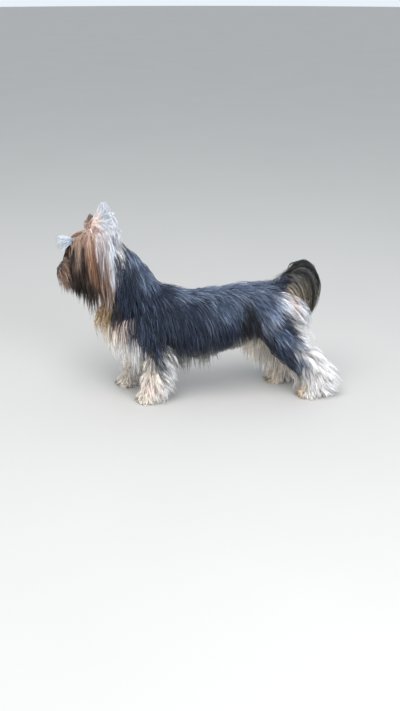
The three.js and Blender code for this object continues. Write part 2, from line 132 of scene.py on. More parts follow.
# How the coat lies: where on the body, the way the hair runs there, its length, how far it stands off the skin,
# how freely it hangs (0 combed, 1 plumb), and its tone. The left side is given, and the right side mirrors it,
# apart from rows that end with the side they are for.
GROOM = [
    # name, part, place, lie, length, depth, hang, tone
    ("withers", "body", (-80, -6, 208), (0.60, -0.68, -0.25), 34, 5, 0.10, "steel"),
    # back, loin and croup: the steel-blue coat is its own colour, and its extra paleness on top is painted
    # skylight
    ("back", "body", (-30, -6, 196), (0.70, -0.55, -0.25), 32, 5, 0.10, "frosty"),
    ("loin", "body", (30, -6, 196), (0.75, -0.50, -0.20), 30, 5, 0.10, "frosty"),
    ("croup", "body", (95, -6, 204), (0.85, -0.40, -0.15), 30, 5, 0.05, "frosty"),
    ("tail set", "body", (138, -6, 202), (0.80, -0.25, 0.35), 32, 8, 0.05, "steel"),
    ("shoulder top", "body", (-95, -38, 190), (0.35, -0.15, -0.90), 42, 12, 0.15, "steel"),
    ("shoulder", "body", (-95, -46, 160), (0.12, -0.05, -1.00), 46, 13, 0.20, "steel"),
    ("ribs high", "body", (-25, -40, 182), (0.62, -0.20, -0.72), 42, 11, 0.12, "steel"),
    ("loin side", "body", (45, -38, 182), (0.64, -0.15, -0.72), 40, 11, 0.10, "greyblue"),
    ("hip", "body", (112, -38, 188), (0.74, -0.12, -0.62), 42, 11, 0.10, "greyblue"),
    ("ribs front", "body", (-58, -46, 160), (0.30, 0.00, -0.95), 48, 14, 0.20, "steel"),
    ("ribs", "body", (-20, -48, 145), (0.36, 0.00, -0.92), 50, 15, 0.20, "steel"),
    ("flank", "body", (45, -45, 148), (0.42, 0.00, -0.90), 48, 14, 0.20, "steel"),
    ("dark flank top", "body", (82, -42, 170), (0.35, 0.00, -0.94), 40, 10, 0.20, "umber"),
    ("dark flank", "body", (84, -44, 146), (0.25, 0.00, -0.97), 46, 11, 0.20, "umber"),
    ("behind the elbow", "body", (-50, -46, 128), (0.18, 0.00, -1.00), 38, 12, 0.25, "umber"),
    ("ribs low front", "body", (-40, -44, 122), (0.16, 0.02, -1.00), 58, 13, 0.35, "steel"),
    ("ribs low", "body", (0, -44, 124), (0.22, 0.02, -0.98), 58, 13, 0.35, "steel"),
    ("flank low", "body", (45, -41, 126), (0.25, 0.02, -0.97), 50, 12, 0.35, "steel"),
    ("hem front", "body", (-45, -34, 106), (0.12, 0.02, -1.00), 68, 12, 0.60, "taupe"),
    ("hem", "body", (5, -32, 106), (0.12, 0.02, -1.00), 66, 12, 0.60, "taupe"),
    ("hem rear", "body", (62, -28, 118), (0.15, 0.05, -1.00), 46, 10, 0.50, "taupe"),
    ("belly", "body", (-20, 0, 100), (0.10, -0.05, -1.00), 56, 10, 0.60, "taupe"),
    ("belly rear", "body", (70, 0, 112), (0.15, -0.05, -1.00), 36, 8, 0.60, "cream"),
    # neck, breast and shoulders
    ("poll", "body", (-128, -12, 272), (0.50, -0.40, -0.75), 46, 9, 0.30, "greyblue"),
    ("nape", "body", (-104, -14, 236), (0.50, -0.36, -0.78), 50, 10, 0.25, "greyblue"),
    ("nape low", "body", (-84, -14, 214), (0.58, -0.42, -0.65), 44, 7, 0.20, "steel"),
    ("neck high", "body", (-138, -28, 250), (0.08, -0.15, -1.00), 56, 13, 0.45, "navy"),
    ("neck", "body", (-124, -34, 218), (0.08, -0.10, -1.00), 56, 14, 0.40, "navy"),
    ("neck base", "body", (-124, -42, 182), (-0.08, -0.05, -1.00), 50, 13, 0.35, "navy"),
    ("throat", "body", (-172, -10, 236), (-0.05, -0.10, -1.00), 44, 11, 0.50, "tan"),
    ("breast", "body", (-154, -5, 192), (-0.18, -0.10, -1.00), 50, 15, 0.40, "gold"),
    ("breast side", "body", (-148, -24, 188), (-0.18, -0.10, -1.00), 48, 14, 0.35, "umber"),
    ("breast low", "body", (-154, -6, 170), (-0.22, -0.10, -1.00), 46, 16, 0.40, "gold"),
    ("lower neck", "body", (-146, -32, 172), (-0.25, -0.10, -0.95), 40, 13, 0.30, "umber"),
    ("lower neck grey", "body", (-138, -36, 156), (-0.15, -0.05, -0.98), 44, 14, 0.35, "fawn"),
    ("white bib", "body", (-138, -32, 136), (0.00, -0.05, -1.00), 66, 17, 0.35, "white"),
    ("point of the shoulder", "body", (-116, -46, 148), (0.02, -0.05, -1.00), 48, 13, 0.25, "navy"),
    ("bib front", "body", (-148, -14, 146), (-0.10, -0.05, -1.00), 54, 16, 0.45, "cream"),
    ("bib low", "body", (-128, -26, 120), (0.10, 0.00, -1.00), 74, 17, 0.40, "cream"),
    ("brisket", "body", (-118, 0, 108), (0.05, 0.00, -1.00), 58, 14, 0.55, "cream"),
    # foreleg; x moves with the leg on the right
    ("upper arm", "fore", (-94, -46, 130), (0.10, -0.05, -1.00), 40, 12, 0.25, "navy"),
    ("upper arm front", "fore", (-118, -42, 124), (0.12, 0.00, -1.00), 78, 17, 0.30, "white"),
    ("foreleg front", "fore", (-92, -40, 92), (-0.55, -0.05, -0.84), 48, 26, 0.12, "cream"),
    ("foreleg front low", "fore", (-96, -40, 56), (-0.45, -0.10, -0.89), 42, 20, 0.15, "cream"),
    ("dark patch high", "fore", (-82, -50, 108), (0.15, -0.10, -0.98), 40, 14, 0.20, "navy"),
    ("dark patch", "fore", (-74, -49, 84), (0.22, -0.15, -0.95), 34, 15, 0.15, "navy"),
    ("elbow", "fore", (-62, -42, 93), (0.72, -0.10, -0.68), 36, 20, 0.10, "white"),
    ("foreleg back high", "fore", (-68, -40, 84), (0.70, -0.15, -0.68), 32, 18, 0.10, "white"),
    ("foreleg back", "fore", (-70, -38, 66), (0.82, -0.15, -0.52), 40, 22, 0.08, "white"),
    ("foreleg back low", "fore", (-78, -38, 42), (0.85, -0.15, -0.48), 44, 22, 0.08, "white"),
    ("foreleg side", "fore", (-90, -50, 66), (0.05, -0.35, -0.92), 44, 16, 0.15, "cream"),
    ("foreleg side low", "fore", (-86, -48, 44), (0.30, -0.40, -0.85), 40, 16, 0.12, "blush"),
    ("foreleg inside", "fore", (-84, -26, 70), (0.05, 0.15, -1.00), 34, 10, 0.35, "cream"),
    ("forefoot", "fore", (-98, -47, 18), (0.15, -0.45, -0.85), 22, 9, 0.15, "cream"),
    ("forefoot top", "fore", (-104, -38, 22), (-0.50, -0.05, -0.80), 22, 8, 0.15, "cream"),
    ("forefoot heel", "fore", (-80, -38, 18), (0.85, -0.10, -0.40), 36, 14, 0.05, "white"),
    ("fore toes", "fore", (-112, -38, 9), (-0.70, 0.00, -0.70), 10, 4, 0.10, "cream"),
    # hind leg
    ("thigh top", "body", (128, -42, 178), (0.66, -0.05, -0.74), 46, 12, 0.10, "frost"),
    ("thigh", "hind", (136, -52, 140), (0.66, 0.00, -0.75), 46, 12, 0.12, "greyblue"),
    ("haunch", "body", (146, -36, 184), (0.70, -0.10, -0.68), 48, 13, 0.12, "silver"),
    ("haunch rear", "body", (155, -28, 180), (0.68, -0.10, -0.70), 38, 13, 0.12, "blush"),
    ("rear thigh", "hind", (170, -42, 156), (0.82, -0.05, -0.55), 40, 16, 0.08, "white"),
    ("rear thigh low", "hind", (172, -44, 128), (0.88, -0.05, -0.45), 44, 20, 0.05, "white"),
    ("breeches", "body", (168, -14, 168), (0.60, -0.15, -0.76), 34, 13, 0.20, "pearl"),
    ("dark streak", "hind", (142, -50, 163), (0.72, 0.00, -0.68), 44, 13, 0.10, "steel"),
    ("streak end", "hind", (153, -50, 152), (0.66, 0.00, -0.74), 32, 12, 0.10, "umber"),
    ("thigh lock", "hind", (152, -52, 132), (0.78, 0.00, -0.60), 50, 15, 0.08, "greyblue"),
    ("stifle front", "hind", (122, -44, 118), (0.42, 0.00, -0.90), 44, 10, 0.20, "umber"),
    ("stifle", "hind", (140, -54, 108), (0.55, 0.00, -0.82), 42, 12, 0.15, "steel"),
    ("shank front", "hind", (156, -46, 84), (0.40, 0.00, -0.90), 58, 11, 0.15, "steel"),
    ("shank front low", "hind", (180, -50, 68), (0.30, -0.10, -0.92), 50, 12, 0.20, "steel"),
    ("shank side", "hind", (174, -52, 80), (0.55, 0.00, -0.82), 42, 12, 0.15, "greyblue"),
    ("shank side rear", "hind", (190, -52, 82), (0.65, 0.00, -0.76), 48, 15, 0.12, "white"),
    ("shank rear", "hind", (192, -44, 92), (0.82, -0.05, -0.56), 54, 21, 0.06, "white"),
    ("hock side", "hind", (208, -50, 62), (0.50, -0.10, -0.84), 46, 15, 0.12, "white"),
    ("hock", "hind", (225, -40, 60), (0.74, -0.05, -0.64), 50, 19, 0.06, "white"),
    ("instep", "hind", (204, -40, 46), (-0.15, -0.05, -0.95), 40, 14, 0.25, "white"),
    ("instep side", "hind", (212, -50, 36), (0.35, -0.30, -0.88), 34, 13, 0.20, "white"),
    ("heel tuft", "hind", (224, -38, 28), (0.95, -0.05, -0.28), 44, 19, 0.04, "white"),
    ("hind foot", "hind", (202, -47, 18), (0.20, -0.45, -0.85), 24, 10, 0.15, "white"),
    ("hind foot top", "hind", (196, -38, 22), (-0.50, -0.05, -0.80), 22, 8, 0.15, "straw"),
    ("hind toes", "hind", (186, -38, 9), (-0.70, 0.00, -0.70), 10, 4, 0.10, "straw"),
    ("inner thigh", "hind", (140, -20, 120), (0.15, 0.10, -0.98), 58, 12, 0.40, "cream"),
    ("inner shank", "hind", (172, -28, 74), (-0.10, 0.05, -0.98), 78, 14, 0.45, "cream"),
    ("shank underside", "hind", (184, -36, 64), (-0.05, 0.00, -1.00), 68, 15, 0.45, "cream"),
    ("far stifle", "hind", (120, -34, 116), (-0.15, 0.00, -0.99), 84, 20, 0.55, "straw", RIGHT),
    ("far stifle inside", "hind", (130, -22, 112), (-0.10, 0.05, -0.99), 84, 18, 0.55, "cream", RIGHT),
    ("far thigh front", "hind", (120, -28, 138), (-0.30, 0.00, -0.95), 70, 20, 0.40, "cream", RIGHT),
    ("far stifle low", "hind", (130, -36, 98), (-0.20, 0.00, -0.98), 86, 24, 0.55, "straw", RIGHT),
    ("far shank", "hind", (146, -34, 88), (-0.20, 0.00, -0.98), 84, 26, 0.60, "cream", RIGHT),
    ("far shank low", "hind", (178, -30, 64), (-0.35, 0.05, -0.94), 60, 26, 0.40, "straw", RIGHT),
    ("far shank inside", "hind", (162, -26, 78), (-0.15, 0.10, -0.98), 76, 20, 0.45, "cream", RIGHT),
    ("far shank rear", "hind", (184, -30, 86), (0.25, 0.05, -0.97), 84, 18, 0.35, "cream", RIGHT),
    ("far hock", "hind", (216, -30, 58), (0.20, 0.00, -0.98), 54, 16, 0.30, "cream", RIGHT),
    ("far instep", "hind", (202, -30, 42), (-0.50, 0.10, -0.86), 46, 24, 0.15, "straw", RIGHT),
    ("far foot", "hind", (192, -30, 22), (-0.45, 0.20, -0.87), 26, 12, 0.10, "cream", RIGHT),
    # tail
    ("tail root", "body", (148, 0, 212), (0.65, -0.05, 0.72), 34, 9, 0.00, "sable"),
    ("tail top", "body", (166, 0, 238), (0.90, -0.20, 0.25), 46, 8, 0.35, "sable"),
    ("tail end", "body", (182, 0, 238), (0.90, -0.10, -0.30), 60, 9, 0.60, "sable"),
    ("tail side", "body", (164, -9, 224), (0.80, -0.30, -0.40), 52, 10, 0.45, "taupe"),
    ("tail under", "body", (158, 0, 208), (0.60, -0.15, -0.80), 46, 8, 0.45, "taupe"),
    # head, in the head's frame; straight down is (-0.21, 0.20, -0.96) there
    ("stop", "head", (-27, -5, 20), (0.10, -0.92, 0.20), 90, 4, 0.75, "charcoal"),
    ("parting front", "head", (-19, -4, 31), (-0.25, -0.93, 0.05), 82, 7, 0.75, "fallow"),
    ("parting dark", "head", (-10, -4, 35), (-0.32, -0.93, 0.05), 104, 8, 0.75, "cocoa"),
    ("parting mid", "head", (-1, -4, 36), (-0.34, -0.92, 0.02), 104, 7, 0.75, "amber"),
    ("parting tan", "head", (8, -4, 37), (-0.32, -0.93, 0.00), 108, 6, 0.75, "amber"),
    ("parting rear", "head", (16, -5, 36), (-0.25, -0.95, 0.00), 116, 5, 0.75, "smoke"),
    ("parting end", "head", (24, -6, 33), (-0.15, -0.97, -0.05), 120, 4, 0.75, "smoke"),
    ("crown line", "head", (-13, 0, 33), (-0.95, 0.00, 0.15), 26, 4, 0.00, "amber"),
    ("crown line rear", "head", (4, 0, 36), (-0.95, 0.00, 0.05), 30, 4, 0.00, "amber"),
    ("crown line end", "head", (15, 0, 37), (0.90, 0.00, 0.10), 40, 5, 0.05, "smoke"),
    ("poll line", "head", (32, 0, 27), (0.85, 0.00, -0.45), 44, 6, 0.20, "greyblue"),
    ("crown rear", "head", (32, -8, 27), (0.05, -0.90, -0.40), 104, 4, 0.75, "white"),
    ("brow", "head", (-26, -13, 18), (0.00, -0.85, -0.10), 92, 3, 0.80, "charcoal"),
    ("temple front", "head", (-28, -17, 11), (-0.05, -0.55, -0.80), 66, 5, 0.88, "gold"),
    ("temple dark", "head", (-22, -26, 8), (-0.15, -0.35, -0.92), 112, 7, 0.88, "charcoal"),
    ("temple tan", "head", (-13, -30, 12), (-0.18, -0.30, -0.93), 80, 9, 0.86, "amber"),
    ("temple", "head", (-3, -31, 12), (-0.18, -0.30, -0.93), 84, 10, 0.86, "amber"),
    ("temple rear", "head", (8, -32, 12), (-0.20, -0.25, -0.93), 104, 10, 0.86, "smoke"),
    ("before the ear", "head", (19, -30, 13), (-0.25, -0.15, -0.94), 108, 9, 0.84, "white"),
    ("below the ear", "head", (28, -26, 8), (-0.40, -0.05, -0.92), 96, 6, 0.80, "white"),
    ("behind the ear", "head", (40, -22, 4), (0.20, -0.15, -0.95), 48, 8, 0.60, "navy"),
    ("base of the near ear", "head", (37, -25, 20), (0.50, -0.35, -0.78), 24, 6, 0.30, "pearl", LEFT),
    ("cheek front", "head", (-18, -30, -8), (-0.16, 0.05, -0.97), 100, 8, 0.94, "charcoal"),
    ("cheek", "head", (-6, -32, -10), (-0.18, 0.05, -0.97), 112, 9, 0.94, "charcoal"),
    ("cheek brown", "head", (6, -32, -10), (-0.20, 0.08, -0.97), 112, 9, 0.94, "tan"),
    ("cheek rear", "head", (18, -29, -10), (-0.28, 0.10, -0.95), 104, 6, 0.92, "fawn"),
    ("jaw corner", "head", (32, -24, -14), (0.05, 0.05, -0.99), 48, 8, 0.70, "navy"),
    ("jaw", "head", (-16, -22, -26), (-0.15, 0.05, -0.97), 84, 9, 0.95, "charcoal"),
    ("jaw rear", "head", (10, -18, -28), (-0.15, 0.05, -0.97), 84, 9, 0.95, "tan"),
    ("between the eyes", "head", (-34, 0, 8), (0.20, -0.92, 0.10), 36, 2, 0.60, "charcoal"),
    ("bridge line", "head", (-42, 0, 3), (-0.95, 0.00, 0.15), 13, 2, 0.00, "charcoal"),
    ("under the eye", "head", (-33, -18, -9), (0.05, -0.30, -0.90), 66, 4, 0.92, "charcoal"),
    ("muzzle bridge", "head", (-44, -3, 1), (0.35, -0.85, -0.20), 54, 3, 0.50, "charcoal"),
    ("muzzle side", "head", (-44, -13, -10), (0.20, -0.50, -0.84), 60, 3, 0.95, "charcoal"),
    ("lip", "head", (-52, -10, -18), (0.25, -0.50, -0.84), 46, 3, 0.95, "charcoal"),
    ("chin", "head", (-50, 0, -26), (0.20, -0.05, -0.96), 34, 3, 0.95, "charcoal"),
    ("chin rear", "head", (-32, -6, -28), (0.00, -0.05, -0.98), 56, 6, 0.95, "charcoal"),
    ("muzzle lock", "head", (-48, -6, 0), (0.30, -0.85, -0.30), 44, 3, 0.65, "honey"),
    ("nose bridge", "head", (-54, -3, -2), (0.60, -0.80, 0.00), 26, 2, 0.30, "rust"),
    ("lip front", "head", (-57, -7, -12), (0.45, -0.60, -0.65), 42, 3, 0.95, "rust"),
    ("far lip", "head", (-52, -10, -18), (0.30, -0.40, -0.86), 42, 3, 0.95, "rust", RIGHT),
    ("far muzzle", "head", (-44, -13, -9), (0.30, -0.40, -0.86), 50, 4, 0.95, "tan", RIGHT),
    ("far moustache lock", "head", (-50, -9, -3), (0.30, -0.60, -0.75), 44, 4, 0.94, "rust", RIGHT),
    ("occiput", "head", (42, -8, 8), (0.50, -0.45, -0.75), 52, 9, 0.60, "navy"),
    # ears, in each ear's own frame: across, up and out of the opening
    ("ear tip", "ear", (0, 0.92, 1), (0.10, 1.00, 0.00), 8, 2, 0.00, "pearl", LEFT),
    ("ear inside", "ear", (0, 0.60, 2), (0.15, 0.99, 0.02), 14, 2, 0.00, "pearl", LEFT),
    ("ear inside mid", "ear", (0.1, 0.42, 2), (0.75, -0.30, 0.25), 26, 3, 0.35, "pearl", LEFT),
    ("ear inside low", "ear", (0.1, 0.22, 2), (0.60, -0.70, 0.25), 50, 4, 0.60, "white", LEFT),
    ("ear front edge", "ear", (-0.9, 0.50, 0), (0.25, 0.95, 0.00), 11, 2, 0.00, "blush", LEFT),
    ("ear root front", "ear", (-0.9, 0.18, 2), (0.40, -0.50, 0.50), 26, 4, 0.60, "fawn", LEFT),
    ("ear rear edge", "ear", (0.9, 0.65, 0), (0.80, 0.50, 0.00), 13, 2, 0.05, "pearl", LEFT),
    ("ear rear mid", "ear", (0.9, 0.40, 0), (0.95, -0.25, 0.05), 22, 3, 0.20, "pearl", LEFT),
    ("ear rear low", "ear", (0.9, 0.12, 0), (0.90, -0.45, 0.05), 36, 4, 0.40, "silver", LEFT),
    ("ear back", "ear", (0, 0.60, -5), (0.30, 0.95, -0.10), 12, 3, 0.00, "silver", LEFT),
    ("ear back low", "ear", (0, 0.25, -5), (0.30, -0.80, -0.40), 34, 5, 0.70, "silver", LEFT),
    ("far ear tip", "ear", (0, 0.90, 0), (0.10, 1.00, 0.00), 8, 2, 0.00, "charcoal", RIGHT),
    ("far ear", "ear", (0, 0.60, 1), (0.20, 0.97, 0.00), 13, 3, 0.05, "tan", RIGHT),
    ("far ear low", "ear", (0, 0.25, 1), (0.50, 0.40, 0.00), 14, 3, 0.30, "fawn", RIGHT),
    ("far ear edge", "ear", (0.9, 0.35, 0), (0.70, -0.50, 0.00), 9, 3, 0.30, "fawn", RIGHT),
    ("far ear rear low", "ear", (0.9, 0.10, 0), (0.50, -0.85, 0.10), 22, 4, 0.80, "lilac", RIGHT),
]
# Locks of the long hair of the head, each a marking that runs down the hanging hair on both sides, and some of
# them dark bands of painted shade in the gaps between locks and on a lock's shaded side: how far back and how
# far down it is along its way, its half width, and its tone from its top to its bottom
LOCKS = [
    ("brow", (-25, 0), (-26, 30), 4.5, "charcoal"),
    ("gold lock", (-13, -40), (-17, -10), (-18, 36), 5.5, "honey"),
    # painted shade: dark ink hair stands for the shadow in the gap between the gold lock and the amber lock
    ("gap behind it", (-9, 0), (-9, 50), 4.0, "ink"),
    ("amber lock", (3, -30), (4, 10), (9, 42), (18, 66), 7.5, "amber"),
    # painted shade: a dark russet stripe along the rear of the amber lock stands for the shaded side of its
    # roll, next to the gap before the lilac lock
    ("dark heart of it", (8, -14), (11, 24), (17, 46), 3.0, "russet"),
    ("lilac lock", (20, -34), (23, 10), (29, 48), 8.0, "smoke"),
    ("white lock", (36, -34), (43, 0), (45, 30), (43, 64), 7.0, "snow"),
    ("chin side", (-19, 42), (-15, 84), 11.0, "ink"),
    ("beard", (0, 68), (4, 120), 11.0, "ink"),
    ("beard streak", (22, 72), (20, 112), 8.0, "rust"),
    ("cheek end", (36, 66), (33, 104), 6.0, "fawn"),
    ("muzzle streak", (-41, 6), (-44, 30), (-41, 52), 2.4, "honey"),
    ("moustache", (-54, 6), (-52, 80), 5.0, "rust"),
    ("under the streak", (-34, 16), (-33, 74), 6.5, "ink"),
]
# How each part of the coat is made:
# spacing between its tresses, as a share of the trunk's, and spread, a tress's half width as a share of that
# strands, the hairs of a tress, and rings, the points along a hair
# gather, how far a tress draws together towards its tip, or opens where it is below 0
# loft, how thick a tress is, and scatter, how far its hairs are out of step
# curl of the tress and wave of its single hairs, streaks, how strong they are, and width of the hairs
# locks, where the head's locks are painted over it
STYLES = {
    "shoulder": dict(spacing=0.86, spread=1.0, strands=6, rings=5, gather=0.0, loft=1.0, scatter=2.2, curl=0.06,
                     wave=0.006, streaks=0.5, width=0.75),
    "loin": dict(spacing=0.86, spread=1.0, strands=6, rings=5, gather=0.0, loft=1.0, scatter=2.4, curl=0.05,
                 wave=0.006, streaks=0.5, width=0.75),
    "neck": dict(spacing=0.88, spread=0.95, strands=6, rings=6, gather=0.10, loft=0.9, scatter=1.8, curl=0.08,
                 wave=0.008, streaks=0.6, width=0.8),
    "head": dict(spacing=0.80, spread=0.8, strands=9, rings=8, gather=0.45, loft=0.6, scatter=1.0, curl=0.20,
                 wave=0.010, streaks=0.5, width=0.8, locks=True),
    "ears": dict(spacing=0.72, spread=0.9, strands=6, rings=5, gather=0.0, loft=0.3, scatter=1.0, curl=0.02,
                 wave=0.002, streaks=0.3, width=0.7),
    "foreleg": dict(spacing=0.90, spread=0.9, strands=9, rings=6, gather=0.30, loft=0.9, scatter=1.4, curl=0.16,
                    wave=0.015, streaks=0.6, width=0.85),
    "hindleg": dict(spacing=0.95, spread=0.9, strands=9, rings=6, gather=0.25, loft=0.9, scatter=1.6, curl=0.14,
                    wave=0.015, streaks=0.6, width=0.85),
    "tail": dict(spacing=0.80, spread=0.8, strands=7, rings=6, gather=0.30, loft=0.5, scatter=1.4, curl=0.05,
                 wave=0.008, streaks=0.6, width=0.9),
    "plume": dict(spacing=1.0, spread=0.75, strands=8, rings=8, gather=0.50, loft=0.8, scatter=3.0, curl=0,
                  wave=0.018, streaks=0.7, width=0.85),
    "topknot": dict(spacing=1.0, spread=0.75, strands=8, rings=7, gather=-0.9, loft=1.0, scatter=1.0, curl=0,
                    wave=0.014, streaks=0.6, width=0.55),
}
# The parts that are combed over the skin, on both sides. The tail is one piece.
COMBED_PARTS = ("shoulder", "loin", "neck", "head", "ears", "foreleg", "hindleg")
# The nodes of hair that each part replaces
HAIR_NODES = {"head": ("fall", "beard", "moustache"), "ears": ("ear_fringe",), "plume": ("tail_plume",),
              "topknot": ("topknot",)}
# Words in the names of the nodes that aren't flesh
NOT_FLESH = ("nose", "eye", "claw", "fall", "fringe", "beard", "moustache", "topknot", "plume")
# The tail's plume and the topknot are gathered along curves, from the outermost to the innermost: x and z along
# each in the plume, and places in the head's frame in the topknot
PLUME = [
    [(156, 220), (174, 245), (200, 246), (218, 214), (215, 178), (206, 146)],
    [(158, 220), (177, 236), (196, 228), (207, 198), (207, 170), (203, 148)],
    [(156, 216), (172, 223), (186, 212), (193, 188), (197, 172), (198, 154)],
    [(150, 207), (162, 211), (173, 203), (180, 188), (185, 176), (188, 164)],
    [(143, 198), (152, 200), (161, 194), (168, 182), (173, 172), (177, 164)],
]
TOPKNOT = [
    [(-20, 0, 30), (-26, 0, 30), (-35, 0, 37), (-47, 0, 46)],
    [(-22, 0, 28), (-27, 0, 28), (-39, 0, 32), (-56, 0, 34)],
    [(-24, 0, 25), (-28, 0, 26), (-39, 0, 25), (-54, 0, 17)],
]
BUNDLES = [
    # name, part of the skin it grows from, curves, half width along them, guides, radius of a tress, outer and
    # inner tone
    ("plume", "tail", [[body_point(x, 0, z) for x, z in way] for way in PLUME],
     (3, 12, 17, 18, 15, 9), 360, 3.2, "sable", "ash"),
    ("topknot", "head", [[head_point(*place) for place in way] for way in TOPKNOT],
     (12, 4, 15, 25), 150, 1.8, "ice", "ice"),
]
# Points tried as roots, and the steps of a guide, which is judged by how far its first steps stand off the skin
ROOTS_TRIED, STEPS, FIRST_STEPS = 90000, 10, 4
SPRUNG_OFF = 14 * MM
# Roots start under the skin, and no hair goes nearer to the floor than this
ROOT_DEPTH = LOWEST_HAIR = 0.8 * MM
# The least share of the usual spacing, and how far from the skull's middle a place still is on the head
CLOSEST, HEAD_REACH = 0.66, 75
DRIFT_WAYS = ((0.8, 0.3, 0.5), (-0.4, 0.7, 0.6), (0.5, -0.2, 0.9), (0.9, 0.5, -0.3))
# A hair's width from its root to its tip, as a share of its widest part, and its thickness as a share of that
STRAND_PROFILE = ([0, 0.12, 0.4, 0.75, 0.93, 1], [0.5, 0.85, 1.0, 0.78, 0.38, 0.0])
STRAND_FLATNESS = 0.42
# Side of the patch that a hair takes on the OFBake unwrap, which is for baking its colours
PATCH = 0.003

# Skeleton of the skin: the stations that its beads run through
TRUNK = [
    # x, top, bottom, half width
    (-150, 176, 138, 20), (-132, 194, 116, 33), (-105, 205, 104, 41), (-72, 207, 99, 46),
    (-34, 195, 99, 49), (8, 194, 101, 49), (48, 198, 107, 46), (85, 203, 117, 42),
    (118, 204, 126, 42), (146, 197, 134, 38), (168, 180, 142, 27),
]
NECK = [
    # x, z, radius along the body, half width
    (-96, 172, 42, 42), (-110, 196, 38, 39), (-126, 222, 34, 35), (-140, 248, 30, 31), (-160, 270, 27, 28),
]
SKULL = [
    # head frame: x, top, bottom, half width
    (34, 20, -18, 19), (24, 30, -26, 28), (8, 35, -29, 33), (-8, 34, -28, 33), (-20, 28, -24, 28),
    (-28, 17, -23, 21), (-36, 5, -26, 15), (-46, 1, -26, 13.5), (-56, -2, -24, 12), (-60, -5, -20, 9),
]
FORELEG = [
    # x, y, z, half length (along the body), half width; the left one
    (-112, -32, 150, 20, 14), (-92, -36, 122, 17, 13), (-76, -38, 98, 12.5, 11), (-79, -38, 70, 9.5, 8.5),
    (-86, -38, 42, 8.5, 8), (-90, -38, 26, 9, 8.5), (-95, -38, 13, 11, 11),
]
HINDLEG = [
    (134, -26, 168, 32, 18), (142, -34, 140, 30, 17), (150, -40, 112, 22, 14.5), (168, -41, 92, 14.5, 11.5),
    (195, -40, 72, 10, 9), (218, -39, 54, 8.5, 7.5), (217, -38, 34, 7.5, 7.5), (212, -38, 17, 9, 9),
    (202, -38, 12, 11, 11),
]
TAIL = [(136, 0, 190, 9), (150, 0, 208, 8), (164, 0, 224, 7), (176, 0, 234, 6)]
# How far the head end of the neck is to the dog's left of its base
NECK_LEAN = -2
# Half the length of a bead along the body, and on a leg half its height
TRUNK_BEAD_HALF, NECK_BEAD_HALF, SKULL_BEAD_HALF, LEG_BEAD_HALF = 22, 20, 7, 11
# Beads beside the skull, the right ones: brow, cheek and upper lip, each with its half sizes
FACE_BEADS = [((-26, 15, 10), (7, 9, 6)), ((-6, 22, -10), (18, 11, 15)), ((-50, 5.5, -14), (9, 8, 9))]
# Left feet: where the toes end, their places across the foot in spacings, and how far the outer toes stand
# back for each
PAW_FRONT = {"fore": -114, "hind": 184}
TOES = (-1.5, -0.5, 0.5, 1.5)
TOE_SPACING, TOE_TUCK = 7.2, 5.5
# The beads of a toe and of the pad: how far behind the toes' ends, how high, and their half sizes
TOE_BEHIND, TOE_HEIGHT, TOE_HALF = 8, 7.4, (8.5, 4.4, 6.2)
PAD_BEHIND, PAD_HEIGHT, PAD_HALF = 20, 9, (13, 12.5, 7.8)
# A claw's length as a cone, how far it reaches forward, and its root's height, its arch and its drop
CLAW_LENGTH, CLAW_REACH, CLAW_HEIGHT, CLAW_ARCH, CLAW_DROP = 11, 10.2, 7.6, 0.9, 4.6

# Face, in the head's frame. The right eye and ear are given.
EYE = Vector((-30, 18.5, 2))
EYE_RADIUS = 7.5
GAZE = Vector((-0.80, 0.58, 0.10)).normalized()
# Half the gap between the lids, across and up
LID_OPENING = (math.radians(50), math.radians(33))
# The skin round an eye, by its distance from the middle of that gap, which is 1 on the lids' edge: inside
# LID_INNER it is a socket under the eyeball's surface, it slopes up to the rim of the lids, is smoothed from
# LID_SMOOTHED on, and is the face's own again at LID_END
LID_INNER, LID_SLOPE, LID_RIM, LID_SMOOTHED, LID_END = 0.94, 0.14, 1.1, 1.2, 2.2
SOCKET_DEPTH = 1.4
# How near to an eye's middle the skin is made finer, and how near it is shaped
EYE_FINE, EYE_SHAPED = 13, 15
CORNEA_RISE, CORNEA_HALF_ANGLE = 0.06, math.radians(48)
# Bare skin fades out from this far round the lids and the nose, over this much
LIDS_BARE, LIDS_FADE, NOSE_BARE, NOSE_FADE = 1.2, 0.35, 11, 3
NOSE_AT = (-61.5, 0, -12.5)
NOSE_HALF = (6.0, 9.3, 6.9)
EAR_ROOT = (24, 24, 25)
EAR_TIP = {LEFT: (39, 28, 76), RIGHT: (32, 56, 55)}
# From the ear's front edge to its rear edge, before it is squared to the ear
EAR_BACKWARDS = (0.86, 0.50, 0)
EAR_HALF_WIDTH, EAR_THICKNESS, EAR_CUP = 21, 3.4, 6.5
# How far the ear goes on below its root
EAR_SUNK = 7

# Stage: the photograph's frame, the pixel of it that looks at the place AIM, and how far that is
FRAME_SIZE, AIM_PIXEL = (400, 711), (199, 340)
AIM, DISTANCE, SENSOR = (0, 0, 103), 1.75, 36
LIGHTS_AIM = (0, 0, 0.15)
FLOOR_RADIUS = 14


class SkinSizes(bpy.types.PropertyGroup):
    """Sizes of the skin."""

    voxel: FloatProperty(
        name="Detail", description="Edge of the cubes that fuse the body into one skin", default=1.8 * MM,
        min=0.001, max=0.01, subtype="DISTANCE", unit="LENGTH")
    smoothing: IntProperty(
        name="Smoothing", description="Passes that soften the fused skin", default=7, min=0, max=40)
    lid_height: FloatProperty(
        name="Lid height", description="How far the eyelids stand off the eyeball", default=1.1 * MM,
        subtype="DISTANCE", unit="LENGTH")


